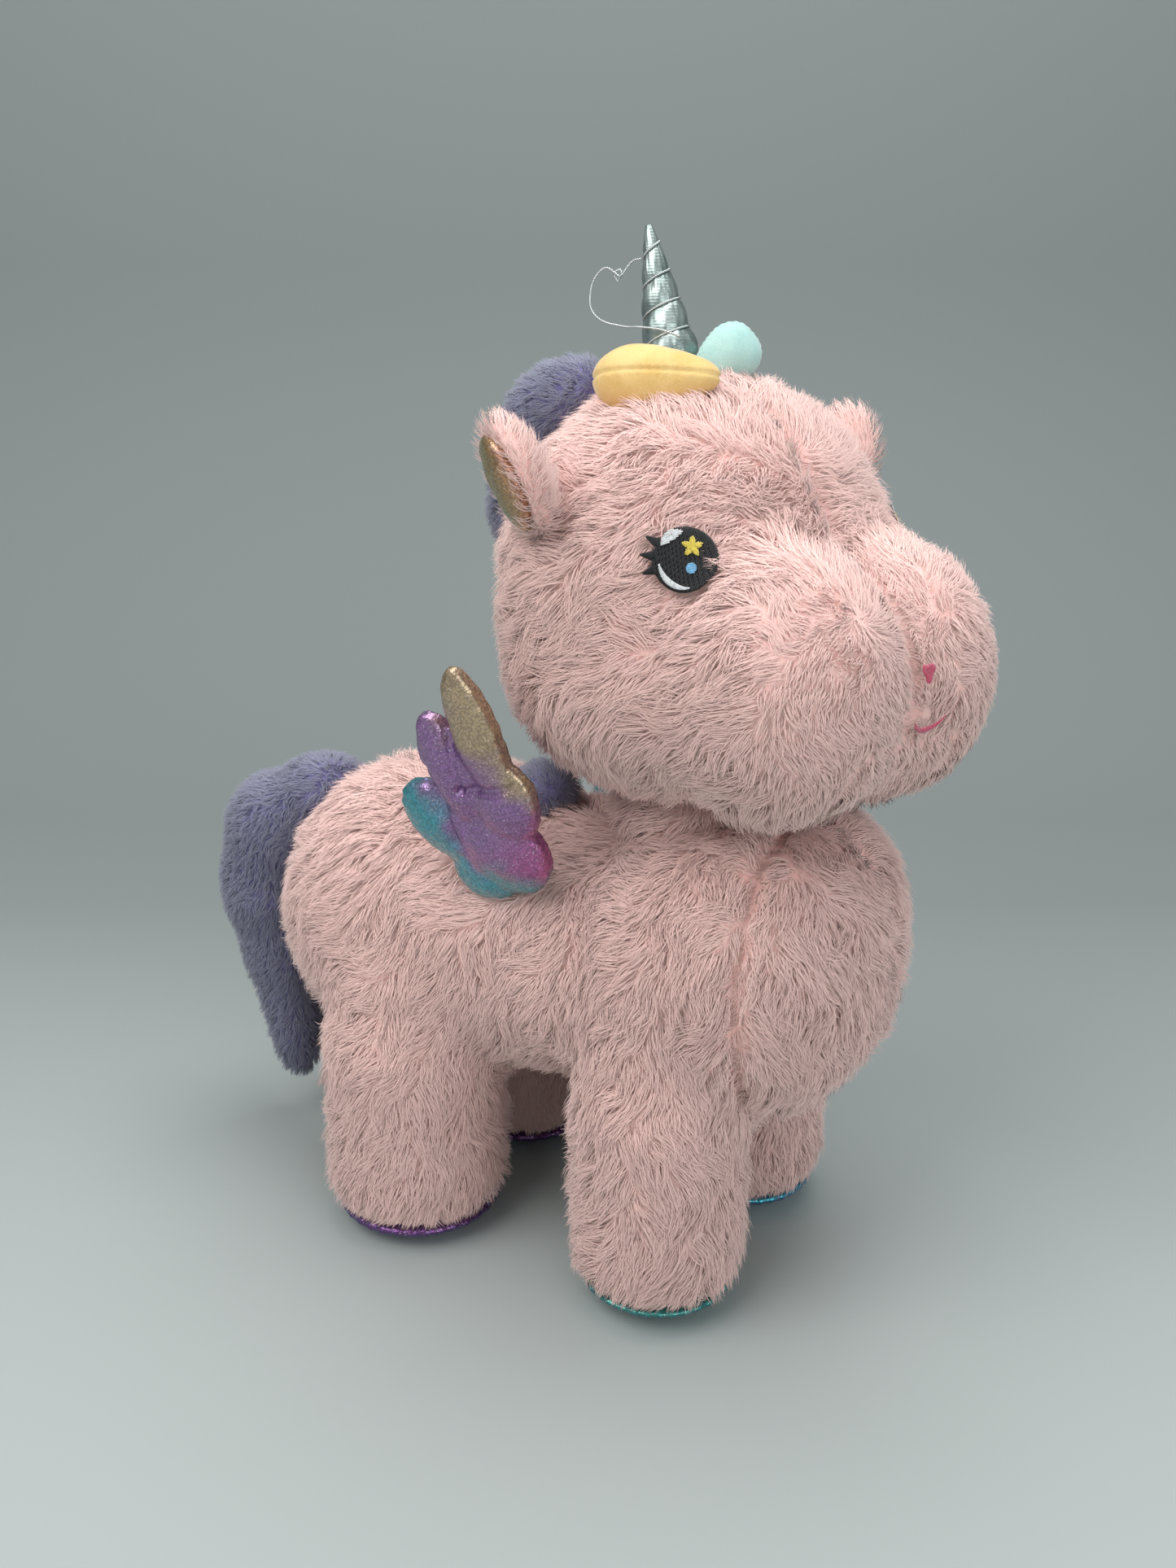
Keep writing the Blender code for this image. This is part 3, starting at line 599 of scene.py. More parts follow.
def head_seams(points):
    """How close each point is to a head seam, 0 to 1."""
    x, y, z = points.T
    under = z < CHIN_TOP
    chin = near(np.abs(y) - chin_half(x), 2.4) * (x > CHIN_BACK_X) * under
    lip = near(z - CHIN_TOP, 1.6) * (np.abs(y) < chin_half(x)) * (x > CHIN_BACK_X)
    middle = near(y, 2.2) * ~(under & (x > CHIN_BACK_X))
    return np.maximum.reduce((chin, 0.6 * lip, middle))


def torso_seams(points):
    x, y, z = points.T
    side = near(x - CHEST_SEAM_X, 2.6)
    front = near(y, 2.2) * (x > CHEST_SEAM_X)
    spine = near(y, 1.8) * (x < CHEST_SEAM_X) * (z > 90)
    return np.maximum.reduce((side, front, spine))


def away_from_seam(flow, seams, strength):
    """The flow, turned away from the seam beside it."""
    def turned_flow(roots, normals):
        step = 0.6
        slope = np.stack([seams(roots + step * axis) - seams(roots - step * axis)
                          for axis in np.eye(3)], axis=1)
        return unit(flow(roots, normals)) - slope * strength
    return turned_flow


def head_flow(roots, normals):
    back = np.array((-0.75, 0.0, -0.55))
    cheek = np.clip((215 - roots[:, 2]) / 50, 0, 1)[:, None]
    return back * (1 - cheek) + np.array((-0.35, 0.0, -1.0)) * cheek


BODY_FLOW = steady(-0.35, 0.0, -0.95)


def head_limits(roots, normals):
    """Shorter pile in the seams and at the nose, bare spots with short pile round the eyes, nose
    and mouth, and none where the head sits on the neck.
    """
    share = 1 - 0.75 * head_seams(roots)
    nose = np.clip((roots[:, 0] - 88) / 20, 0, 1)
    share *= 1 - 0.45 * nose
    for spot, clear, short in BARE_SPOTS:
        gap = np.linalg.norm(roots - np.array(spot), axis=1)
        share *= np.clip((gap - clear) / short, 0, 1) * 0.6 + 0.4 * (gap > clear)
    share *= 1 - (np.abs(roots[:, 0] - 38) < 22) * (np.abs(roots[:, 1]) < 22) * (roots[:, 2] < 170)
    return share


BARE_SPOTS = (               # place, radius left bare, width of the short pile round it
    ((71, -41.5, 228), 7.6, 3.5), ((71, 41.5, 228), 7.6, 3.5), ((113, 0, 201.5), 2.4, 3.0),
    ((113, 0, 189), 1.8, 3.0), ((113, 5, 190.5), 1.8, 3.0), ((113, -5, 190.5), 1.8, 3.0),
)
SEAM_DEPTH = 3.0             # how far the skin is pulled in along its seams


def build_head():
    bm = swollen(HEAD_SWELLS, HEAD_CORE, HEAD_BLEND, 140, 96, ROOT_DEPTH)
    skin = moved(mesh_of(bm, "head_skin"), lambda p: -SEAM_DEPTH * head_seams(p))
    rng = np.random.default_rng(11)
    roots, normals = scatter(skin, LONG_PILE["per_mm2"] * DENSITY, rng)
    flow = away_from_seam(head_flow, head_seams, 4.5)
    fur = strands(roots, normals, flow, LONG_PILE, rng, head_limits)
    add_fur("head_fur", fur, PINK_STRANDS, worn("head"))
    add_piece("head_skin", skin, PINK_CLOTH, "head",
              ("head_side_right", "head_side_left", "head_chin", "head_stuffing"))


# ---- torso and legs

LEG_TOP = 84                 # above this the fur over a leg stays with the torso
FOOT_ROUND = {27: 14, 30: 11}         # roundness of the foot's lower edge for each leg radius
FOOT_LOW = 4.5


def leg_body(x, y, radius):
    r = radius - ROOT_DEPTH
    foot = FOOT_ROUND[radius] - ROOT_DEPTH + 1.5
    profile = [(0, HIP_Z + r)]
    profile += [(r * math.sin(a), HIP_Z + r * math.cos(a))
                for a in map(math.radians, range(10, 91, 10))]
    straight = HIP_Z - FOOT_LOW - foot
    profile += [(r, HIP_Z - straight * k / 6) for k in range(1, 7)]
    profile += [(r - foot + foot * math.cos(a), FOOT_LOW + foot - foot * math.sin(a))
                for a in map(math.radians, range(15, 91, 15))]
    profile += [(0, FOOT_LOW)]
    return turned(profile, (x, y))


def leg_at(points):
    """The index of the leg each point belongs to, or -1 on the torso."""
    found = np.full(len(points), -1)
    for k, (x, y, radius) in enumerate(LEGS.values()):
        flat = np.hypot(points[:, 0] - x, points[:, 1] - y)
        found[(flat < radius + 2) & (points[:, 2] < LEG_TOP)] = k
    return found


def split_faces(mesh, wanted, name):
    """A copy of the mesh with only the wanted faces."""
    bm = bmesh.new()
    bm.from_mesh(mesh)
    bm.faces.ensure_lookup_table()
    drop = [bm.faces[i] for i in np.flatnonzero(~wanted)]
    bmesh.ops.delete(bm, geom=drop, context="FACES")
    made = bare_mesh(bm, name)
    made.shade_smooth()
    return made


def follow_leg(piece):
    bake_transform(piece)


CHEST_TOP = ((63, 0, 129), (31, 35, 23))     # the chest's rise up to the chin
HIP_INSET = 0.86             # the shoulders and haunches sit this share of the legs' spread out
HIP_TOP = 120
HIP_TALL = 46
SKIN_VOXEL = 1.8
SKIN_SMOOTHING = 60
FOOT_BARE = 8.5              # no pile below this: the sole's puffed edge shows


def body_limits(roots, normals):
    share = 1 - 0.7 * torso_seams(roots)
    under_neck = (np.hypot(roots[:, 0] - 38, roots[:, 1]) < 20) & (roots[:, 2] > 130)
    share[under_neck] = 0
    foot = np.clip((roots[:, 2] - FOOT_BARE) / 9, 0, 1)
    return share * (0.3 + 0.7 * foot) * (roots[:, 2] > FOOT_BARE)


def build_body():
    swells = (*TORSO_SWELLS, CHEST_TOP)
    torso = swollen(swells, TORSO_CORE, TORSO_BLEND, 96, 64, ROOT_DEPTH, poles="X")
    legs = [leg_body(*LEGS[leg]) for leg in LEGS]
    hips = [ellipsoid((x, y * HIP_INSET, HIP_TOP - HIP_TALL),
                      (radius * 0.96, radius * 0.88, HIP_TALL), 0)
            for x, y, radius in LEGS.values()]
    skin = moved(fused([torso] + legs + hips, "body_skin", SKIN_VOXEL, SKIN_SMOOTHING),
                 lambda p: -SEAM_DEPTH * torso_seams(p))
    centres = np.array([f.center[:] for f in skin.polygons])
    owner = leg_at(from_frame(centres))
    torso_skin = split_faces(skin, owner < 0, "torso_skin")
    add_piece("torso_skin", torso_skin, PINK_CLOTH, "torso",
              ("torso_side_right", "torso_side_left", "chest_right", "chest_left", "belly",
               "torso_stuffing"))
    for k, leg in enumerate(LEGS):
        piece = add_piece(f"leg_{leg}_cloth", split_faces(skin, owner == k, f"leg_{leg}_cloth"),
                          PINK_CLOTH, None, (f"leg_{leg}_skin", f"leg_{leg}_stuffing"))
        follow_leg(piece)
    rng = np.random.default_rng(12)
    roots, normals = scatter(skin, LONG_PILE["per_mm2"] * DENSITY, rng)
    flow = away_from_seam(BODY_FLOW, torso_seams, 4.0)
    fur = strands(roots, normals, flow, LONG_PILE, rng, body_limits)
    owner = leg_at(fur.roots)
    add_fur("torso_fur", fur.only(owner < 0), PINK_STRANDS, worn("torso"))
    for k, leg in enumerate(LEGS):
        add_fur(f"leg_{leg}_fur", fur.only(owner == k), PINK_STRANDS,
                lambda piece, leg=leg: follow_leg(piece))


# ---- pieces with their own frame

def facing(at, out, along):
    """A turn and a place, in millimetres: local Y lies along, local Z as near to out as it can."""
    y = Vector(along).normalized()
    x = y.cross(Vector(out)).normalized()
    z = x.cross(y)
    return Matrix.Translation(at) @ Matrix((x, y, z)).transposed().to_4x4()


def placed(bm, where, sign=-1):
    bm.transform(where)
    if sign > 0:
        bmesh.ops.scale(bm, vec=(1, -1, 1), verts=bm.verts[:])
    return bm


def local_places(points, where, sign=-1):
    """Points in millimetres seen from a piece's own frame."""
    own = np.array(points) * ((1, -1, 1) if sign > 0 else (1, 1, 1))
    back = np.array(where.inverted())
    return own @ back[:3, :3].T + back[:3, 3]


def bumps(points, size, seed=0.0):
    return np.array([noise.noise(Vector(p / size) + Vector((seed, 0, 0))) for p in points])


# ---- lavender plush

# Root, middle and tip tones, warm and pale: the dark roots are painted shade deep in the pile and
# the pale tips painted light on its top
LAVENDER_TONES = (((0.26, 0.26, 0.36), (0.30, 0.30, 0.41)),
                  ((0.38, 0.39, 0.50), (0.43, 0.44, 0.56)),
                  ((0.52, 0.53, 0.64), (0.60, 0.61, 0.72)))
SHORT_PILE = {"length": 4.2, "width": 0.3, "lean": 44, "lock": 12, "swirl": 1.3,
              "swirl_size": 9.0, "scatter": 0.4, "wave": 0.12, "gather": 0.35, "per_mm2": 2.2}
SHORT_DEPTH = 1.8
CREST_SWELLS = (((-4, 0, 265.5), (12, 12, 11)), ((-16, 2, 260), (12, 13, 13)),
                ((-22, 4, 246), (13, 13, 13)), ((-27, 6, 231), (12, 11, 12)))
FALL_SWELLS = (((-25, 22, 206.5), (14, 11, 14)), ((-23, 24, 188.5), (14, 11, 14)),
               ((-17, 22, 172.5), (13, 11, 11)))
NAPE_SWELLS = (((-15, -3, 145.5), (10, 12, 9)),)
TAIL_SWELLS = (((-104, -4, 131), (17, 15, 14)), ((-124, -5, 117), (20, 19, 18)),
               ((-130, -6, 94), (19, 18, 22)), ((-129, -5, 69), (13.5, 14, 18)),
               ((-127, -4, 46), (9.5, 10, 17)), ((-124.5, -4, 28), (7, 7.5, 11)))
LAVENDER_STRANDS = pile("lavender_strand", LAVENDER_TONES)
LAVENDER_CLOTH = plush_cloth("lavender_backing", (0.14, 0.12, 0.28), (0.22, 0.20, 0.40))


DOWN_FLOW = steady(-0.25, 0.0, -1.0)
CREST_FLOW = steady(-0.8, 0.1, -0.5)


def outside_of(*bodies):
    """No pile where a piece is pressed into the head or the torso."""
    def limits(roots, normals):
        share = np.ones(len(roots))
        for swells, blend in bodies:
            share *= swell_field(roots, swells, blend) > -1.0
        return share
    return limits


def plush_piece(name, mesh, body, flow, style, cloth, strand_set, limits, replaced, seed):
    rng = np.random.default_rng(seed)
    roots, normals = scatter(mesh, style["per_mm2"] * DENSITY, rng)
    fur = strands(roots, normals, flow, style, rng, limits)
    add_fur(name + "_pile", fur, strand_set, worn(body))
    add_piece(name + "_cloth", mesh, cloth, body, replaced)


def build_mane_and_tail():
    off_head = outside_of((HEAD_SWELLS, HEAD_BLEND))
    off_torso = outside_of((TORSO_SWELLS, TORSO_BLEND), (HEAD_SWELLS, HEAD_BLEND))
    jobs = (
        ("mane_crest", CREST_SWELLS, (-17, 2, 253), 3, "head", CREST_FLOW, off_head,
         ("mane_crest",), 21),
        ("mane_fall", FALL_SWELLS, (-28, 24, 189.5), 3, "head", DOWN_FLOW, off_head,
         ("mane_fall",), 22),
        ("nape_tuft", NAPE_SWELLS, (-15, -3, 145.5), 3, "torso", CREST_FLOW, off_torso,
         ("mane_nape_tuft",), 23),
        ("tail", TAIL_SWELLS, (-130, -5, 88), 4, "tail", DOWN_FLOW, off_torso,
         ("tail_cover", "tail_stuffing"), 24),
    )
    for name, swells, core, blend, body, flow, limits, replaced, seed in jobs:
        mesh = mesh_of(swollen(swells, core, blend, 56, 44, SHORT_DEPTH), name)
        mesh = moved(mesh, lambda p: bumps(p, 9.0, seed) * 0.9)
        plush_piece(name, mesh, body, flow, SHORT_PILE, LAVENDER_CLOTH, LAVENDER_STRANDS,
                    limits, replaced, seed)


# ---- foil-printed knit

def foil(name, base, edge, painted_sparkle=0.35):
    """Iridescent foil knit: the hue turns with the angle, under a fine mesh of printed dots and
    white specks painted in as glints.
    """
    nodes = Nodes(name, base, 0.32, 0.75)
    facing_share = nodes.add("ShaderNodeLayerWeight")
    facing_share.inputs["Blend"].default_value = 0.45
    finish_foil(nodes, nodes.mix(facing_share.outputs["Facing"], base, edge), painted_sparkle)
    return nodes.made


def finish_foil(nodes, hue, painted_sparkle):
    dots = nodes.add("ShaderNodeTexVoronoi", feature="F1")
    dots.inputs["Scale"].default_value = 1350
    nodes.link(nodes.place, dots.inputs["Vector"])
    dark = nodes.times(nodes.maths("GREATER_THAN", dots.outputs["Distance"], 0.52), 0.35)
    hue = nodes.mix(dark, hue, (0.05, 0.04, 0.06))
    # white specks painted into the colour: painted glints standing for the foil's sparkle
    painted_glints = nodes.maths("GREATER_THAN", nodes.noise(1900, 1), 0.68)
    nodes.colour(nodes.mix(nodes.times(painted_glints, painted_sparkle), hue, (1.0, 0.95, 0.92)))
    nodes.rough(700, 2, 0.3, 0.14)
    nodes.bump(dots.outputs["Distance"], 0.35, 0.0003)
    nodes.shader.inputs["Coat Weight"].default_value = 0.3
    nodes.shader.inputs["Coat Roughness"].default_value = 0.12


GOLD = (0.52, 0.38, 0.24)
PURPLE = (0.34, 0.18, 0.40)
MAGENTA = (0.46, 0.13, 0.33)
TEAL = (0.07, 0.38, 0.46)
COPPER = (0.62, 0.28, 0.18)
OLIVE = (0.38, 0.36, 0.12)


def along(nodes, where, axis):
    """A piece's own coordinate in millimetres, alike on both sides of the toy."""
    row = where.inverted()[axis]
    x, y, z = nodes.axes()
    right = nodes.times(nodes.maths("ABSOLUTE", y, 0), -1.0)
    parts = nodes.times(x, row[0] / MM)
    parts = nodes.plus(parts, nodes.times(right, row[1] / MM))
    parts = nodes.plus(parts, nodes.times(z, row[2] / MM))
    return nodes.plus(parts, row[3] - row[0] * AHEAD)


def between(nodes, value, start, end):
    """0 at start, 1 at end."""
    node = nodes.add("ShaderNodeMapRange", interpolation_type="SMOOTHSTEP")
    nodes.link(value, node.inputs["Value"])
    node.inputs["From Min"].default_value = start
    node.inputs["From Max"].default_value = end
    return node.outputs["Result"]


def wing_foil():
    nodes = Nodes("wing_foil", PURPLE, 0.3, 0.75)
    u = along(nodes, WING_FRAME, 0)
    v = along(nodes, WING_FRAME, 1)
    wander = nodes.times(nodes.maths("SUBTRACT", nodes.noise(70, 2), 0.5), 22.0)
    u = nodes.plus(u, wander)
    v = nodes.plus(v, wander)
    near_root = between(nodes, nodes.plus(nodes.times(v, -1), u), -18, 6)
    hue = nodes.mix(near_root, PURPLE, MAGENTA)
    hue = nodes.mix(between(nodes, nodes.plus(v, u), 46, 70), hue, GOLD)
    low = nodes.plus(nodes.times(u, 1.0), nodes.times(v, 0.42))
    hue = nodes.mix(between(nodes, low, 4, -8), hue, TEAL)
    hue = nodes.mix(between(nodes, v, 14, 2), hue, TEAL)
    finish_foil(nodes, hue, 0.4)
    return nodes.made


WING_AT = (-9, -40.6, 129.5)
WING_FRAME = facing(WING_AT, (0.0, -0.90, -0.40), (0.04, -0.42, 0.91))
WING_LOBES = (               # centre, radii, lean in degrees, in the wing's own frame
    ((6, 12, 0), (15, 16, 6.5), 0),
    ((7.5, 54, 0), (24.5, 7.8, 5.0), 96),
    ((11, 31, 0), (16, 10.5, 5.6), 78),
    ((-4.5, 40, 0), (21, 8.6, 5.4), 100),
    ((-12, 19, 0), (17, 13.0, 5.6), 128),
    ((-3, 2, 0), (11, 11, 5.8), 0),
)
WING_DART = (((-1, 60), (-0.5, 36)), ((-0.5, 36), (17, 41)), ((-11, 42), (-7, 16)))
WING_SEAM_WIDTH = 1.1
WING_SEAM_DEPTH = 0.55
DART_WIDTH = 1.5
DART_DEPTH = 1.5
WING_PUCKERS = 46            # once round a wing's edge
PUCKER_HEIGHT = 0.22


def distance_to(points, start, end):
    """Distance in the wing's plane from points to a line between two places."""
    start, end = np.array(start, float), np.array(end, float)
    run = end - start
    share = np.clip(((points - start) @ run) / (run @ run), 0, 1)
    return np.linalg.norm(points - (start + share[:, None] * run), axis=1)


def wing_shift(sign):
    def shift(points):
        own = local_places(points, WING_FRAME, sign)
        flat = own[:, :2]
        seam = near(own[:, 2], WING_SEAM_WIDTH)
        out = -WING_SEAM_DEPTH * seam
        for start, end in WING_DART:
            out -= DART_DEPTH * near(distance_to(flat, start, end), DART_WIDTH) * (1 - seam)
        angle = np.arctan2(flat[:, 1] - 24, flat[:, 0])
        ripple = PUCKER_HEIGHT * np.sin(angle * WING_PUCKERS + flat[:, 1] * 0.4)
        out += ripple * near(own[:, 2], 2.6) * (1 - seam)
        return out + 0.35 * bumps(own, 7.0) + 0.16 * bumps(own, 2.4)
    return shift


def ellipsoid(centre, radii, lean, segments=48, rings=24):
    bm = bmesh.new()
    bmesh.ops.create_uvsphere(bm, u_segments=segments, v_segments=rings, radius=1.0)
    bm.transform(Matrix.Translation(centre) @ Matrix.Rotation(math.radians(lean), 4, "Z")
                 @ Matrix.Diagonal((*radii, 1)))
    return bm


def build_wings():
    material = wing_foil()
    for side, sign in SIDES:
        lobes = [placed(ellipsoid(*lobe), WING_FRAME, sign) for lobe in WING_LOBES]
        mesh = moved(fused(lobes, "wing", 0.8, 6), wing_shift(sign))
        add_piece(f"wing_{side}_foil", mesh, material, f"wing_{side}",
                  (f"wing_outer_face_{side}", f"wing_inner_face_{side}", f"wing_stuffing_{side}"))


# ---- ears

EAR_AT = (34, -56.4, 232)
EAR_FRAME = facing(EAR_AT, (-0.32, -0.95, 0.0), (-0.12, -0.39, 0.90))
EAR_SIZE = (34, 25, 14)
EAR_PILE = dict(LONG_PILE, length=5.6, lean=50, lock=9, swirl=0.9)


EAR_FLOW = steady(-0.2, 0.0, 1.0)


def off_middle(sign, width, height):
    """How far points are from the middle of an ear: 1 on an oval of this half width and height."""
    def share(points):
        own = local_places(points, EAR_FRAME, sign)
        flat = np.hypot(own[:, 0] / width, (own[:, 1] - EAR_SIZE[0] * 0.49) / height)
        return flat, own[:, 2] > 0
    return share


def build_ears():
    height, width, depth = EAR_SIZE
    lining = foil("ear_foil", COPPER, OLIVE, 0.5)
    middle = (0, height * 0.47, 0)
    for side, sign in SIDES:
        cup = ellipsoid(middle, (width / 2 - 1.6, height / 2 - 1.6, depth / 2 - 1.6), 0, 64, 40)
        mesh = mesh_of(placed(cup, EAR_FRAME, sign), "ear")

        bowl = off_middle(sign, width * 0.36, height * 0.38)
        rim = off_middle(sign, width * 0.34, height * 0.36)

        def hollow(points):
            flat, front = bowl(points)
            return -2.4 * np.clip(1.1 - flat, 0, 1) ** 0.5 * front

        def limits(roots, normals):
            flat, front = rim(roots)
            return 1.0 - ((flat < 1) & front)

        mesh = moved(mesh, hollow)
        plush_piece(f"ear_{side}", mesh, f"ear_{side}", EAR_FLOW, EAR_PILE, PINK_CLOTH,
                    PINK_STRANDS, limits, (f"ear_outer_{side}",), 31)
        lens = ellipsoid((0, height * 0.49, depth * 0.26), (width * 0.37, height * 0.39, 3.4),
                         0, 72, 36)
        lens_mesh = mesh_of(placed(lens, EAR_FRAME, sign), "ear_lining")
        lens_mesh = moved(lens_mesh, lambda p: 0.22 * bumps(p, 3.5) + 0.1 * bumps(p, 1.4))
        add_piece(f"ear_{side}_lining", lens_mesh, lining, f"ear_{side}",
                  (f"ear_lining_{side}",))


# ---- velour petals

PETALS = (                   # name, place, out, tip direction, size, colour
    ("yellow", (38.2, -21.2, 271), (-0.3, 0.2, 0.93), (0.9, 0.44, 0.05), (34.5, 18, 17),
     ((0.74, 0.47, 0.15), (0.86, 0.61, 0.26)), "yellow_velour"),
    ("mint", (36.2, 7.4, 277.2), (0.73, -0.62, 0.29), (-0.43, -0.75, -0.51), (17.5, 13.5, 10.5),
     ((0.36, 0.60, 0.57), (0.49, 0.73, 0.69)), "mint_velour"),
)


PETAL_SEAM_WIDTH = 0.55
PETAL_SEAM_DEPTH = 0.6
PETAL_PUCKERS = 31


def velour(name, low, high):
    nodes = Nodes(name, high, 0.9, sheen=0.6)
    nodes.shader.inputs["Sheen Roughness"].default_value = 0.35
    nap = nodes.noise(2600, 3)
    drift = nodes.noise(160, 3)
    mottle = nodes.plus(nodes.times(nap, 0.4), nodes.times(drift, 0.6))
    nodes.colour(nodes.ramp(mottle, ((0.32, low), (0.62, high))))
    nodes.bump(nap, 0.5, 0.0003)
    return nodes.made


def build_petals():
    for name, at, out, tip, size, (low, high), slot in PETALS:
        length, width, thick = size
        where = facing(at, out, tip)
        swells = (((0, -length * 0.20, 0), (width / 2, length * 0.30, thick / 2)),
                  ((0, 0, 0), (width * 0.44, length * 0.34, thick * 0.44)),
                  ((0, length * 0.20, 0), (width * 0.27, length * 0.30, thick * 0.27)))
        bm = placed(swollen(swells, (0, 0, 0), 2, 120, 80), where)
        mesh = mesh_of(bm, "petal_" + name)

        def shift(points):
            own = local_places(points, where)
            seam = near(own[:, 2], PETAL_SEAM_WIDTH)
            angle = np.arctan2(own[:, 0], own[:, 1])
            puckers = np.sin(angle * PETAL_PUCKERS + own[:, 1] * 0.5) * near(own[:, 2], 2.2)
            return -PETAL_SEAM_DEPTH * seam + 0.16 * puckers * (1 - seam) + 0.3 * bumps(own, 6.0)

        mesh = moved(mesh, shift)
        add_piece(f"petal_{name}_velour", mesh, velour(f"{name}_velour", low, high),
                  f"petal_{name}", (f"petal_{name}_cover", f"petal_{name}_stuffing"))


# ---- threads

ASKEW = (0.31, 0.52, 0.79)   # a direction that no thread runs along


def tube_mesh(name, paths, radius, sides=6):
    """Round threads along paths in millimetres, closed at both ends."""
    bm = bmesh.new()
    for path in paths:
        path = np.array(path, float)
        run = unit(np.gradient(path, axis=0))
        lead = np.cross(run[0], ASKEW)
        rings = []
        for spot, way in zip(path, run):
            lead = lead - way * (lead @ way)
            lead /= np.linalg.norm(lead)
            other = np.cross(way, lead)
            rings.append([bm.verts.new(spot + radius * (lead * math.cos(a) + other * math.sin(a)))
                          for a in clock(sides)])
        lofted(bm, rings)
    return mesh_of(bm, name)


def twisted(path, offset, pitch, plies=2):
    """The plies of a twisted thread along a path."""
    path = np.array(path, float)
    run = unit(np.gradient(path, axis=0))
    reach = np.concatenate(([0], np.cumsum(np.linalg.norm(np.diff(path, axis=0), axis=1))))
    lead = unit(np.cross(run, ASKEW))
    other = np.cross(run, lead)
    made = []
    for k in range(plies):
        turn = 2 * math.pi * (reach / pitch + k / plies)
        made.append(path + offset * (lead * np.cos(turn)[:, None] + other * np.sin(turn)[:, None]))
    return made


def smooth_path(corners, count):
    """An even curve through a few places."""
    corners = np.array(corners, float)
    knots = np.concatenate((corners[:1] * 2 - corners[1:2], corners,
                            corners[-1:] * 2 - corners[-2:-1]))
    out = []
    spans = len(corners) - 1
    for i in range(count + 1):
        t = i / count * spans
        k = min(int(t), spans - 1)
        f = t - k
        a, b, c, d = knots[k:k + 4]
        out.append(0.5 * (2 * b + (c - a) * f + (2 * a - 5 * b + 4 * c - d) * f ** 2
                          + (3 * b - a - 3 * c + d) * f ** 3))
    return np.array(out)


# ---- horn

HORN_FRAME = Matrix.Translation((22, 0, 275)) @ Matrix.Rotation(-math.radians(16), 4, "Y")
HORN_LENGTH = 38.5
HORN_R = 8.6
HORN_PITCH = 8.2
HORN_TIP_R = 0.9
HORN_PINCH = 0.14            # how far the winding draws the cloth in, as a share of the radius


def horn_ring(z, wave):
    """The horn's radius at a height; wave is the share of a turn away from the winding."""
    taper = HORN_R * (1 - z / HORN_LENGTH) ** 0.85 + HORN_TIP_R * (z / HORN_LENGTH)
    puff = abs(math.sin(math.pi * wave)) ** 0.6
    return taper * (1 - HORN_PINCH + HORN_PINCH * puff)


def silver_cloth():
    nodes = Nodes("silver_cloth", (0.50, 0.56, 0.55), 0.3, 0.9)
    nodes.colour(nodes.ramp(nodes.noise(220, 4), ((0.3, (0.24, 0.30, 0.29)),
                                                  (0.7, (0.46, 0.53, 0.51)))))
    nodes.rough(500, 3, 0.3, 0.22)
    weave = nodes.add("ShaderNodeTexWave", wave_type="BANDS", bands_direction="Z")
    weave.inputs["Scale"].default_value = 380
    nodes.link(nodes.place, weave.inputs["Vector"])
    nodes.bump(weave.outputs["Fac"], 0.12, 0.0002)
    return nodes.made


def horn_mesh(around=96, levels=150):
    """The puffed and creased cover, drawn in between the turns of the winding."""
    bm = bmesh.new()
    rings = []
    for k in range(levels + 1):
        z = HORN_LENGTH * k / levels
        ring = []
        for angle in clock(around):
            r = horn_ring(z, z / HORN_PITCH - angle / (2 * math.pi))
            c, s = math.cos(angle), math.sin(angle)
            r *= 1 + 0.06 * noise.noise(Vector((c * 2.6, s * 2.6, z * 0.16))) \
                + 0.025 * noise.noise(Vector((c * 7, s * 7, z * 0.3 + 9)))
            ring.append(bm.verts.new((r * c, r * s, z)))
        rings.append(ring)
    lofted(bm, rings)
    bm.transform(HORN_FRAME)
    return mesh_of(bm, "horn_cloth")


def winding_path(start=0.07, share=0.8, steps_per_turn=150):
    """The thread's way round the horn, from a share of its length on."""
    count = int(HORN_LENGTH * share / HORN_PITCH * steps_per_turn)
    path = []
    for i in range(count + 1):
        z = HORN_LENGTH * (start + share * i / count)
        angle = 2 * math.pi * z / HORN_PITCH
        r = horn_ring(z, 0.0) + 0.45
        path.append((HORN_FRAME @ Vector((r * math.cos(angle), r * math.sin(angle), z)))[:])
    return path


LOOP_CORNERS = ((10.6, -1.6, 303.4), (7.6, -2.7, 302.6), (6.2, -6.0, 298.2), (5.6, -6.6, 297.6),
                (4.8, -7.0, 299.6), (6.4, -5.9, 300.4), (6.6, -6.4, 298.6), (3.6, -8.6, 300.9),
                (1.9, -10.9, 299.0), (1.6, -12.8, 295.2), (2.9, -13.9, 289.9),
                (6.2, -12.4, 286.5), (12.5, -9.6, 285.0), (18.5, -9.5, 284.8),
                (24.5, -7.2, 284.0), (28.6, -3.6, 282.2))


def build_horn():
    add_piece("horn_cloth", horn_mesh(), silver_cloth(), "horn",
              ("horn_cover", "horn_stuffing"))
    thread = new_material("silver_thread", (0.58, 0.61, 0.61), 0.3, 0.95)
    winding = tube_mesh("horn_thread", twisted(winding_path(), 0.17, 1.3), 0.2)
    add_piece("horn_thread", winding, thread, "horn", ("horn_winding",))
    plies = twisted(smooth_path(LOOP_CORNERS, 260), 0.15, 1.5)
    add_piece("loose_thread", tube_mesh("loose_thread", plies, 0.19), thread, "horn_loop",
              ("horn_loose_loop",))


# ---- embroidery

def head_spot(ways):
    ways = unit(np.array(ways, float).reshape(-1, 3))
    core = np.array(HEAD_CORE, float)
    return core + ways * swell_reach(core, ways, HEAD_SWELLS, HEAD_BLEND)[:, None]


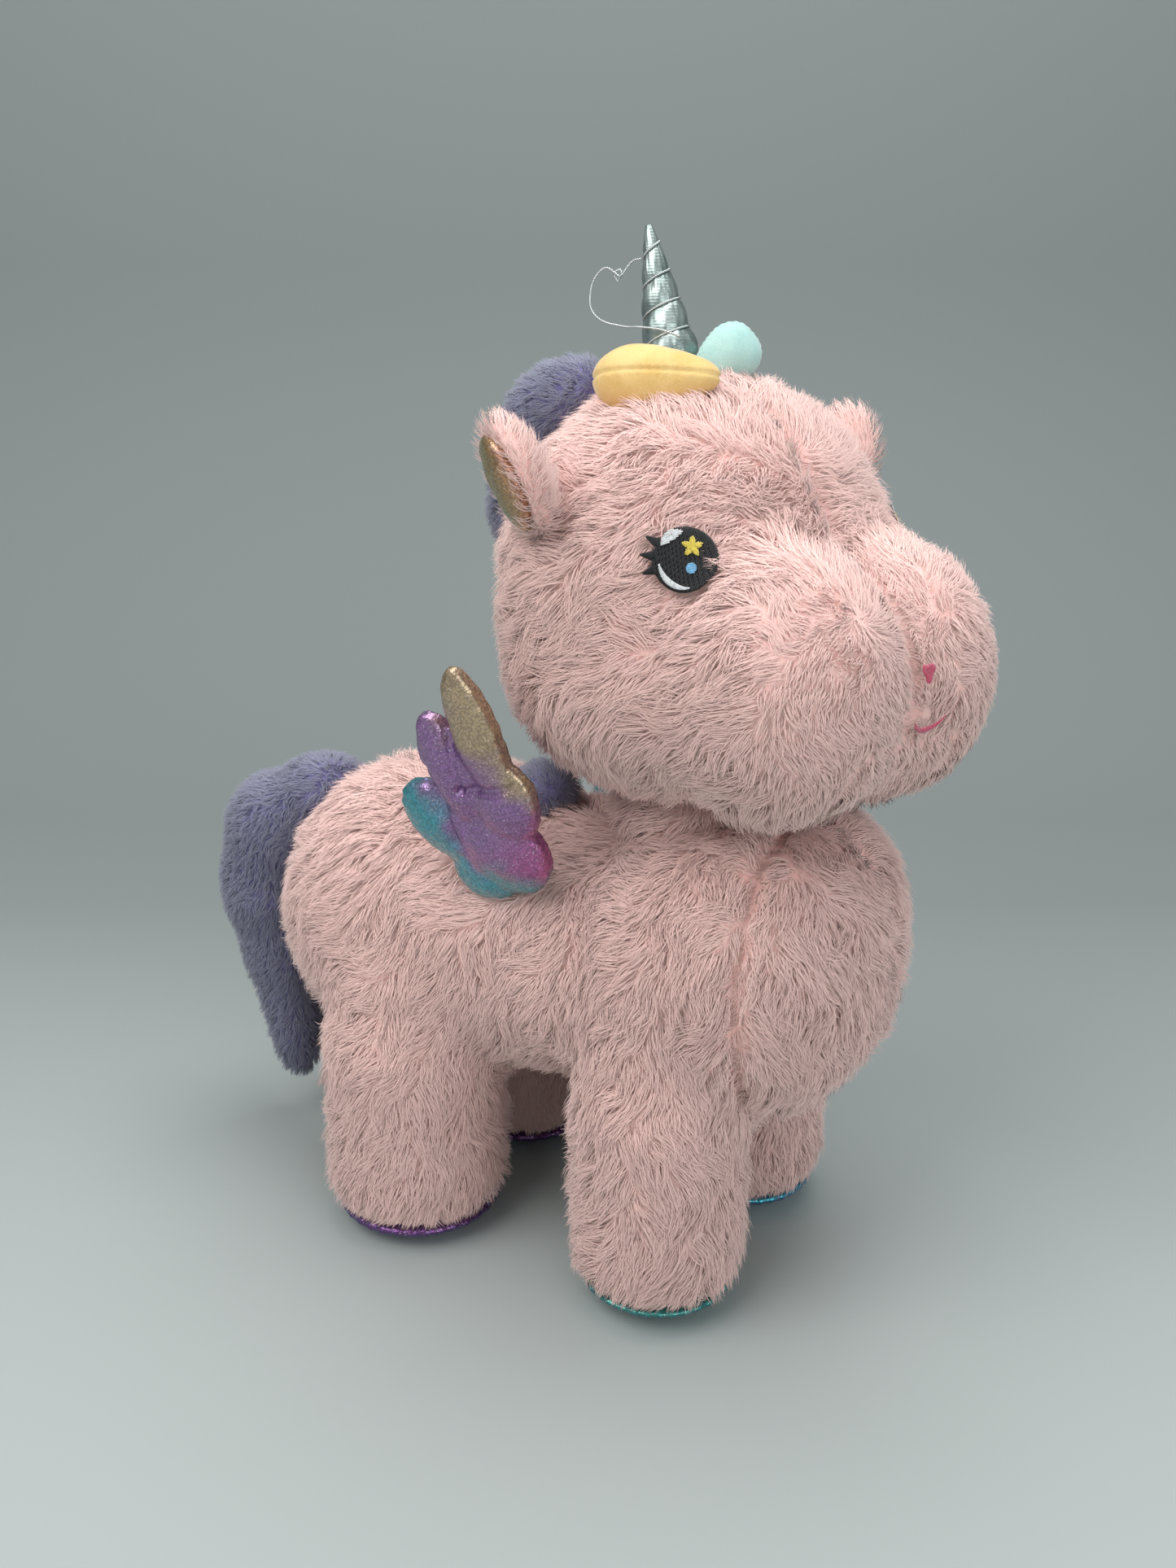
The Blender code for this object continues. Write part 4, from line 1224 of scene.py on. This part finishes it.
def head_frame(at):
    """The tangent frame of the head's surface nearest to a point: spot, across, up, out."""
    spot = head_spot([np.array(at, float) - np.array(HEAD_CORE, float)])[0]
    step = 0.5
    ends = [np.array([spot + step * axis, spot - step * axis]) for axis in np.eye(3)]
    out = np.array([swell_field(pair, HEAD_SWELLS, HEAD_BLEND) @ (1, -1) for pair in ends])
    out /= np.linalg.norm(out)
    up = np.array((0, 0, 1.0)) - out * out[2]
    up /= np.linalg.norm(up)
    return spot, np.cross(up, out), up, out


def crossings(outline, v):
    found = []
    for (a0, b0), (a1, b1) in zip(outline, outline[1:] + outline[:1]):
        if (b0 - v) * (b1 - v) < 0:
            found.append(a0 + (a1 - a0) * (v - b0) / (b1 - b0))
    found.sort()
    return zip(found[::2], found[1::2])


STITCH_PITCH = 0.38
STITCH_LENGTH = 3.4
SHORTEST_STITCH = 0.25
STITCH_ARCH = 0.28


def satin(frame_at, outline, angle, lift, points=5):
    """Stitches that fill an outline, each a short thread arched over the cloth."""
    c, s = math.cos(math.radians(angle)), math.sin(math.radians(angle))
    own = [(a * c + b * s, -a * s + b * c) for a, b in outline]
    low, high = min(b for _, b in own), max(b for _, b in own)
    rows = int((high - low) / STITCH_PITCH)
    flat = []
    for row in range(rows + 1):
        v = low + STITCH_PITCH * (row + 0.5)
        for start, end in crossings(own, v):
            cuts = [start]
            mark = start + STITCH_LENGTH * (0.4 + 0.3 * (row % 3))
            while mark < end - 0.5 * STITCH_LENGTH:
                cuts.append(mark)
                mark += STITCH_LENGTH
            cuts.append(end)
            flat += [(a, b, v) for a, b in zip(cuts, cuts[1:]) if b - a > SHORTEST_STITCH]
    spot, across, up, out = frame_at
    core = np.array(HEAD_CORE, float)
    places, heights = [], []
    for a, b, v in flat:
        for k in range(points):
            t = k / (points - 1)
            u = a + (b - a) * t
            places.append(spot + across * (u * c - v * s) + up * (u * s + v * c))
            arch = math.sin(math.pi * (0.12 + 0.76 * t)) ** 0.5
            heights.append(lift - STITCH_ARCH + STITCH_ARCH * arch)
    skin = head_spot(np.array(places) - core) + out * np.array(heights)[:, None]
    return list(skin.reshape(len(flat), points, 3))


def thread_material(name, colour, sheen=0.4):
    nodes = Nodes(name, colour, 0.5, sheen=sheen)
    shade = tuple(0.72 * c for c in colour)
    nodes.colour(nodes.ramp(nodes.noise(1600, 2), ((0.35, shade), (0.65, colour))))
    nodes.bump(nodes.noise(5200, 2), 0.3, 0.0001)
    return nodes.made


def polar(radius_at, centre=(0, 0), count=120):
    return [(centre[0] + radius_at(a) * math.cos(a), centre[1] + radius_at(a) * math.sin(a))
            for a in clock(count)]


def bow(centre, radius, start, end, width, count=14):
    """A crescent's outline: out along its outer edge and back along its inner one."""
    outer, inner = [], []
    for i in range(count + 1):
        angle = math.radians(start + (end - start) * i / count)
        half = width / 2 * (0.12 + 0.88 * math.sin(math.pi * i / count))
        for edge, sign in ((outer, 1), (inner, -1)):
            edge.append((centre[0] + (radius + sign * half) * math.cos(angle),
                         centre[1] + (radius + sign * half) * math.sin(angle)))
    return outer + inner[::-1]


EYE_AT = (72, -42.3, 228.8)
EYE_R = 8.3
LASHES = (150, 174, 198)
NOSE_AT = (113, 0, 201.5)
NOSE_R = 2.3
MOUTH_AT = (113, 0, 189.5)
STITCH_R = 0.215
THREADS = {                  # colour, and sheen where it isn't the usual
    "black_thread": ((0.004, 0.004, 0.006), 0.08), "white_thread": ((0.80, 0.82, 0.84),),
    "yellow_thread": ((0.80, 0.62, 0.08),), "blue_thread": ((0.20, 0.48, 0.75),),
    "crimson_thread": ((0.62, 0.07, 0.15),),
}


def eye_radius(angle):
    lashes = 0.0
    for lash in LASHES:
        off = abs((angle - math.radians(lash) + math.pi) % (2 * math.pi) - math.pi)
        lashes = max(lashes, 1 - off / math.radians(8))
    return EYE_R + 3.4 * max(0.0, lashes)


def star_radius(angle):
    turn = (angle - math.pi / 2) * 5 / (2 * math.pi)
    return 2.8 * (1 - 0.56 * min(1, 2 * abs(turn - round(turn))))


def nose_radius(angle):
    """A rounded triangle, point down."""
    return NOSE_R * (1 + 0.25 * math.cos(3 * (angle + math.pi / 2)))


def add_stitches(name, node, at, outline, angle, lift, thread, slot):
    """Embroidery on both sides of the head, or once across it."""
    paths = satin(head_frame(at), outline, angle, lift)
    for side, sign in SIDES if at == EYE_AT else (("", -1),):
        flip = (1, -1, 1) if sign > 0 else (1, 1, 1)
        mesh = tube_mesh(name, [p * flip for p in paths], STITCH_R, 5)
        end = "_" + side if side else ""
        add_piece(name + end + "_stitches", mesh, thread, "head", (node + end,))


def build_embroidery():
    threads = {name: thread_material(name, *look) for name, look in THREADS.items()}
    star = polar(star_radius, (1.6, 3.3), 60)
    dot = polar(lambda a: 1.35, (1.6, -2.2), 24)
    glint = bow((0.2, -0.2), 7.2, 98, 150, 2.6)
    crescent = bow((0.6, 0.0), 7.2, 188, 276, 1.5)
    smile = bow((0, 5.2), 7.2, 212, 328, 1.4)
    for job in (
        ("eye_black", "eye_black", EYE_AT, polar(eye_radius), 80, 1.1, "black_thread"),
        ("eye_star", "eye_star", EYE_AT, star, 35, 1.45, "yellow_thread"),
        ("eye_dot", "eye_blue_dot", EYE_AT, dot, 10, 1.45, "blue_thread"),
        ("eye_glint", "eye_white_glint", EYE_AT, glint, 20, 1.45, "white_thread"),
        ("eye_crescent", "eye_white_crescent", EYE_AT, crescent, 60, 1.45, "white_thread"),
        ("nose", "nose", NOSE_AT, polar(nose_radius, (0, 0), 36), 25, 2.0, "crimson_thread"),
        ("mouth", "mouth", MOUTH_AT, smile, 90, 2.0, "crimson_thread"),
    ):
        add_stitches(*job[:-1], threads[job[-1]], job[-1])


# ---- soles and neck

REAR_SOLE = ("violet_foil_knit", (0.16, 0.05, 0.20), (0.06, 0.10, 0.26))
SOLES = {                    # slot, colour seen straight on, colour at the edge
    "front_right": ("green_foil_knit", (0.05, 0.30, 0.26), (0.04, 0.24, 0.34)),
    "front_left": ("teal_foil_knit", (0.03, 0.36, 0.46), (0.12, 0.16, 0.44)),
    "rear_right": REAR_SOLE, "rear_left": REAR_SOLE,
}


def build_soles():
    for leg, (x, y, radius) in LEGS.items():
        foot = FOOT_ROUND[radius]
        bend = radius - foot
        profile = [(0, 9.6), (bend * 0.8, 9.6), (bend + foot * 0.5, 9.3)]
        profile += [(bend + foot * math.cos(a) - 0.5, foot + 1.6 - foot * math.sin(a))
                    for a in map(math.radians, range(32, 83, 10))]
        profile += [(bend, 0.25), (bend * 0.6, 0.05), (0, 0.05)]
        mesh = mesh_of(turned(profile, (x, y), 120), "sole_" + leg)

        def shift(points, x=x, y=y):
            angle = np.arctan2(points[:, 1] - y, points[:, 0] - x)
            rim = np.clip((points[:, 2] - 0.6) / 3, 0, 1)
            return (0.25 * np.sin(angle * 34) + 0.3 * bumps(points, 3.0)) * rim - 0.4 * rim

        mesh = applied(moved(mesh, shift), ("SUBSURF", {"levels": 1, "render_levels": 1}))
        slot, *hues = SOLES[leg]
        add_piece(f"sole_{leg}_foil", mesh, foil("foil_" + leg, *hues), "leg_" + leg,
                  (f"sole_{leg}",))


def build_neck():
    centre = (38, 0, 148)
    mesh = mesh_of(swollen(((centre, (24, 24, 16)),), centre, 1, 64, 32), "neck")
    style = dict(LONG_PILE, length=7.5, lean=48)
    plush_piece("neck", mesh, "neck", BODY_FLOW, style, PINK_CLOTH, PINK_STRANDS,
                None, ("neck_stuffing",), 41)


# ---- studio

CAMERA_AZIMUTH = 29.7
CAMERA_PITCH = 17.0
CAMERA_DISTANCE = 0.435
CAMERA_TARGET = (-1.3, 0, 148.5)
LENS = 31.76


def add_camera():
    a, p = math.radians(CAMERA_AZIMUTH), math.radians(CAMERA_PITCH)
    back = Vector((math.sin(a) * math.cos(p), -math.cos(a) * math.cos(p), math.sin(p)))
    data = bpy.data.cameras.new("camera")
    data.lens = LENS
    data.sensor_width = 36
    camera = put("camera", data)
    camera.location = Vector(to_frame(CAMERA_TARGET)) + back * CAMERA_DISTANCE
    camera.rotation_euler = back.to_track_quat("Z", "Y").to_euler()
    bpy.context.scene.camera = camera


def add_light(name, place, size, power, colour=(1, 1, 1), aim=(0, 0, 0.14)):
    data = bpy.data.lights.new(name, "AREA")
    data.size = size
    data.energy = power
    data.color = colour
    light = put(name, data)
    light.location = place
    light.rotation_euler = (Vector(place) - Vector(aim)).to_track_quat("Z", "Y").to_euler()


SWEEP_RADIUS = 0.35          # of the curve between floor and wall, m
WALL_AT = 0.75
WALL_TOP = 1.6
FLOOR_FRONT = -1.6
FLOOR_HALF = 2.5
# Grey of the paper from the floor in front to the wall: the darkening towards the wall is painted
# shade
PAPER_PAINTED_SHADE = ((0.0, (0.41, 0.445, 0.44)), (0.3, (0.32, 0.35, 0.347)),
         (0.62, (0.24, 0.267, 0.265)), (1.0, (0.235, 0.262, 0.26)))


def backdrop_mesh(away, across):
    """A floor that sweeps up into a wall behind the toy."""
    profile = [(FLOOR_FRONT, 0.0)]
    for k in range(13):
        a = math.radians(90 * k / 12)
        profile.append((WALL_AT - SWEEP_RADIUS + SWEEP_RADIUS * math.sin(a),
                        SWEEP_RADIUS - SWEEP_RADIUS * math.cos(a)))
    profile.append((WALL_AT, WALL_TOP))
    bm = bmesh.new()
    rows = [[bm.verts.new(away * d + across * s + Vector((0, 0, z)))
             for s in (-FLOOR_HALF, FLOOR_HALF)] for d, z in profile]
    for low, high in zip(rows, rows[1:]):
        bm.faces.new((low[0], low[1], high[1], high[0]))
    mesh = bare_mesh(bm, "backdrop")
    mesh.shade_smooth()
    return mesh


def backdrop_paper_painted_shade(away):
    nodes = Nodes("backdrop_paper_painted_shade", (0.40, 0.435, 0.43), 0.9)
    x, y, _ = nodes.axes()
    behind = nodes.plus(nodes.times(x, away.x), nodes.times(y, away.y))
    # the paper's grey darkens with distance behind the toy: painted shade
    nodes.colour(nodes.ramp(between(nodes, behind, -0.20, 0.60), PAPER_PAINTED_SHADE))
    return nodes.made


def add_studio():
    world = bpy.data.worlds.new("studio")
    world.use_nodes = True
    background = world.node_tree.nodes["Background"]
    background.inputs["Color"].default_value = (0.74, 0.80, 0.80, 1.0)
    background.inputs["Strength"].default_value = 0.55
    bpy.context.scene.world = world
    a = math.radians(CAMERA_AZIMUTH)
    away = Vector((-math.sin(a), math.cos(a), 0))
    across = Vector((math.cos(a), math.sin(a), 0))
    linked("backdrop", backdrop_mesh(away, across), backdrop_paper_painted_shade(away))
    add_light("key", (-0.25, -0.75, 1.1), 0.9, 9.5, (1.0, 0.99, 0.97))
    add_light("fill", (1.1, -0.7, 0.55), 0.9, 5, (0.94, 0.98, 1.0))
    add_light("top", (0.1, 0.15, 1.3), 0.8, 9)


build_head()
build_body()
build_neck()
build_mane_and_tail()
build_wings()
build_ears()
build_petals()
build_horn()
build_embroidery()
build_soles()
add_camera()
add_studio()
bpy.context.scene.view_settings.view_transform = "Standard"
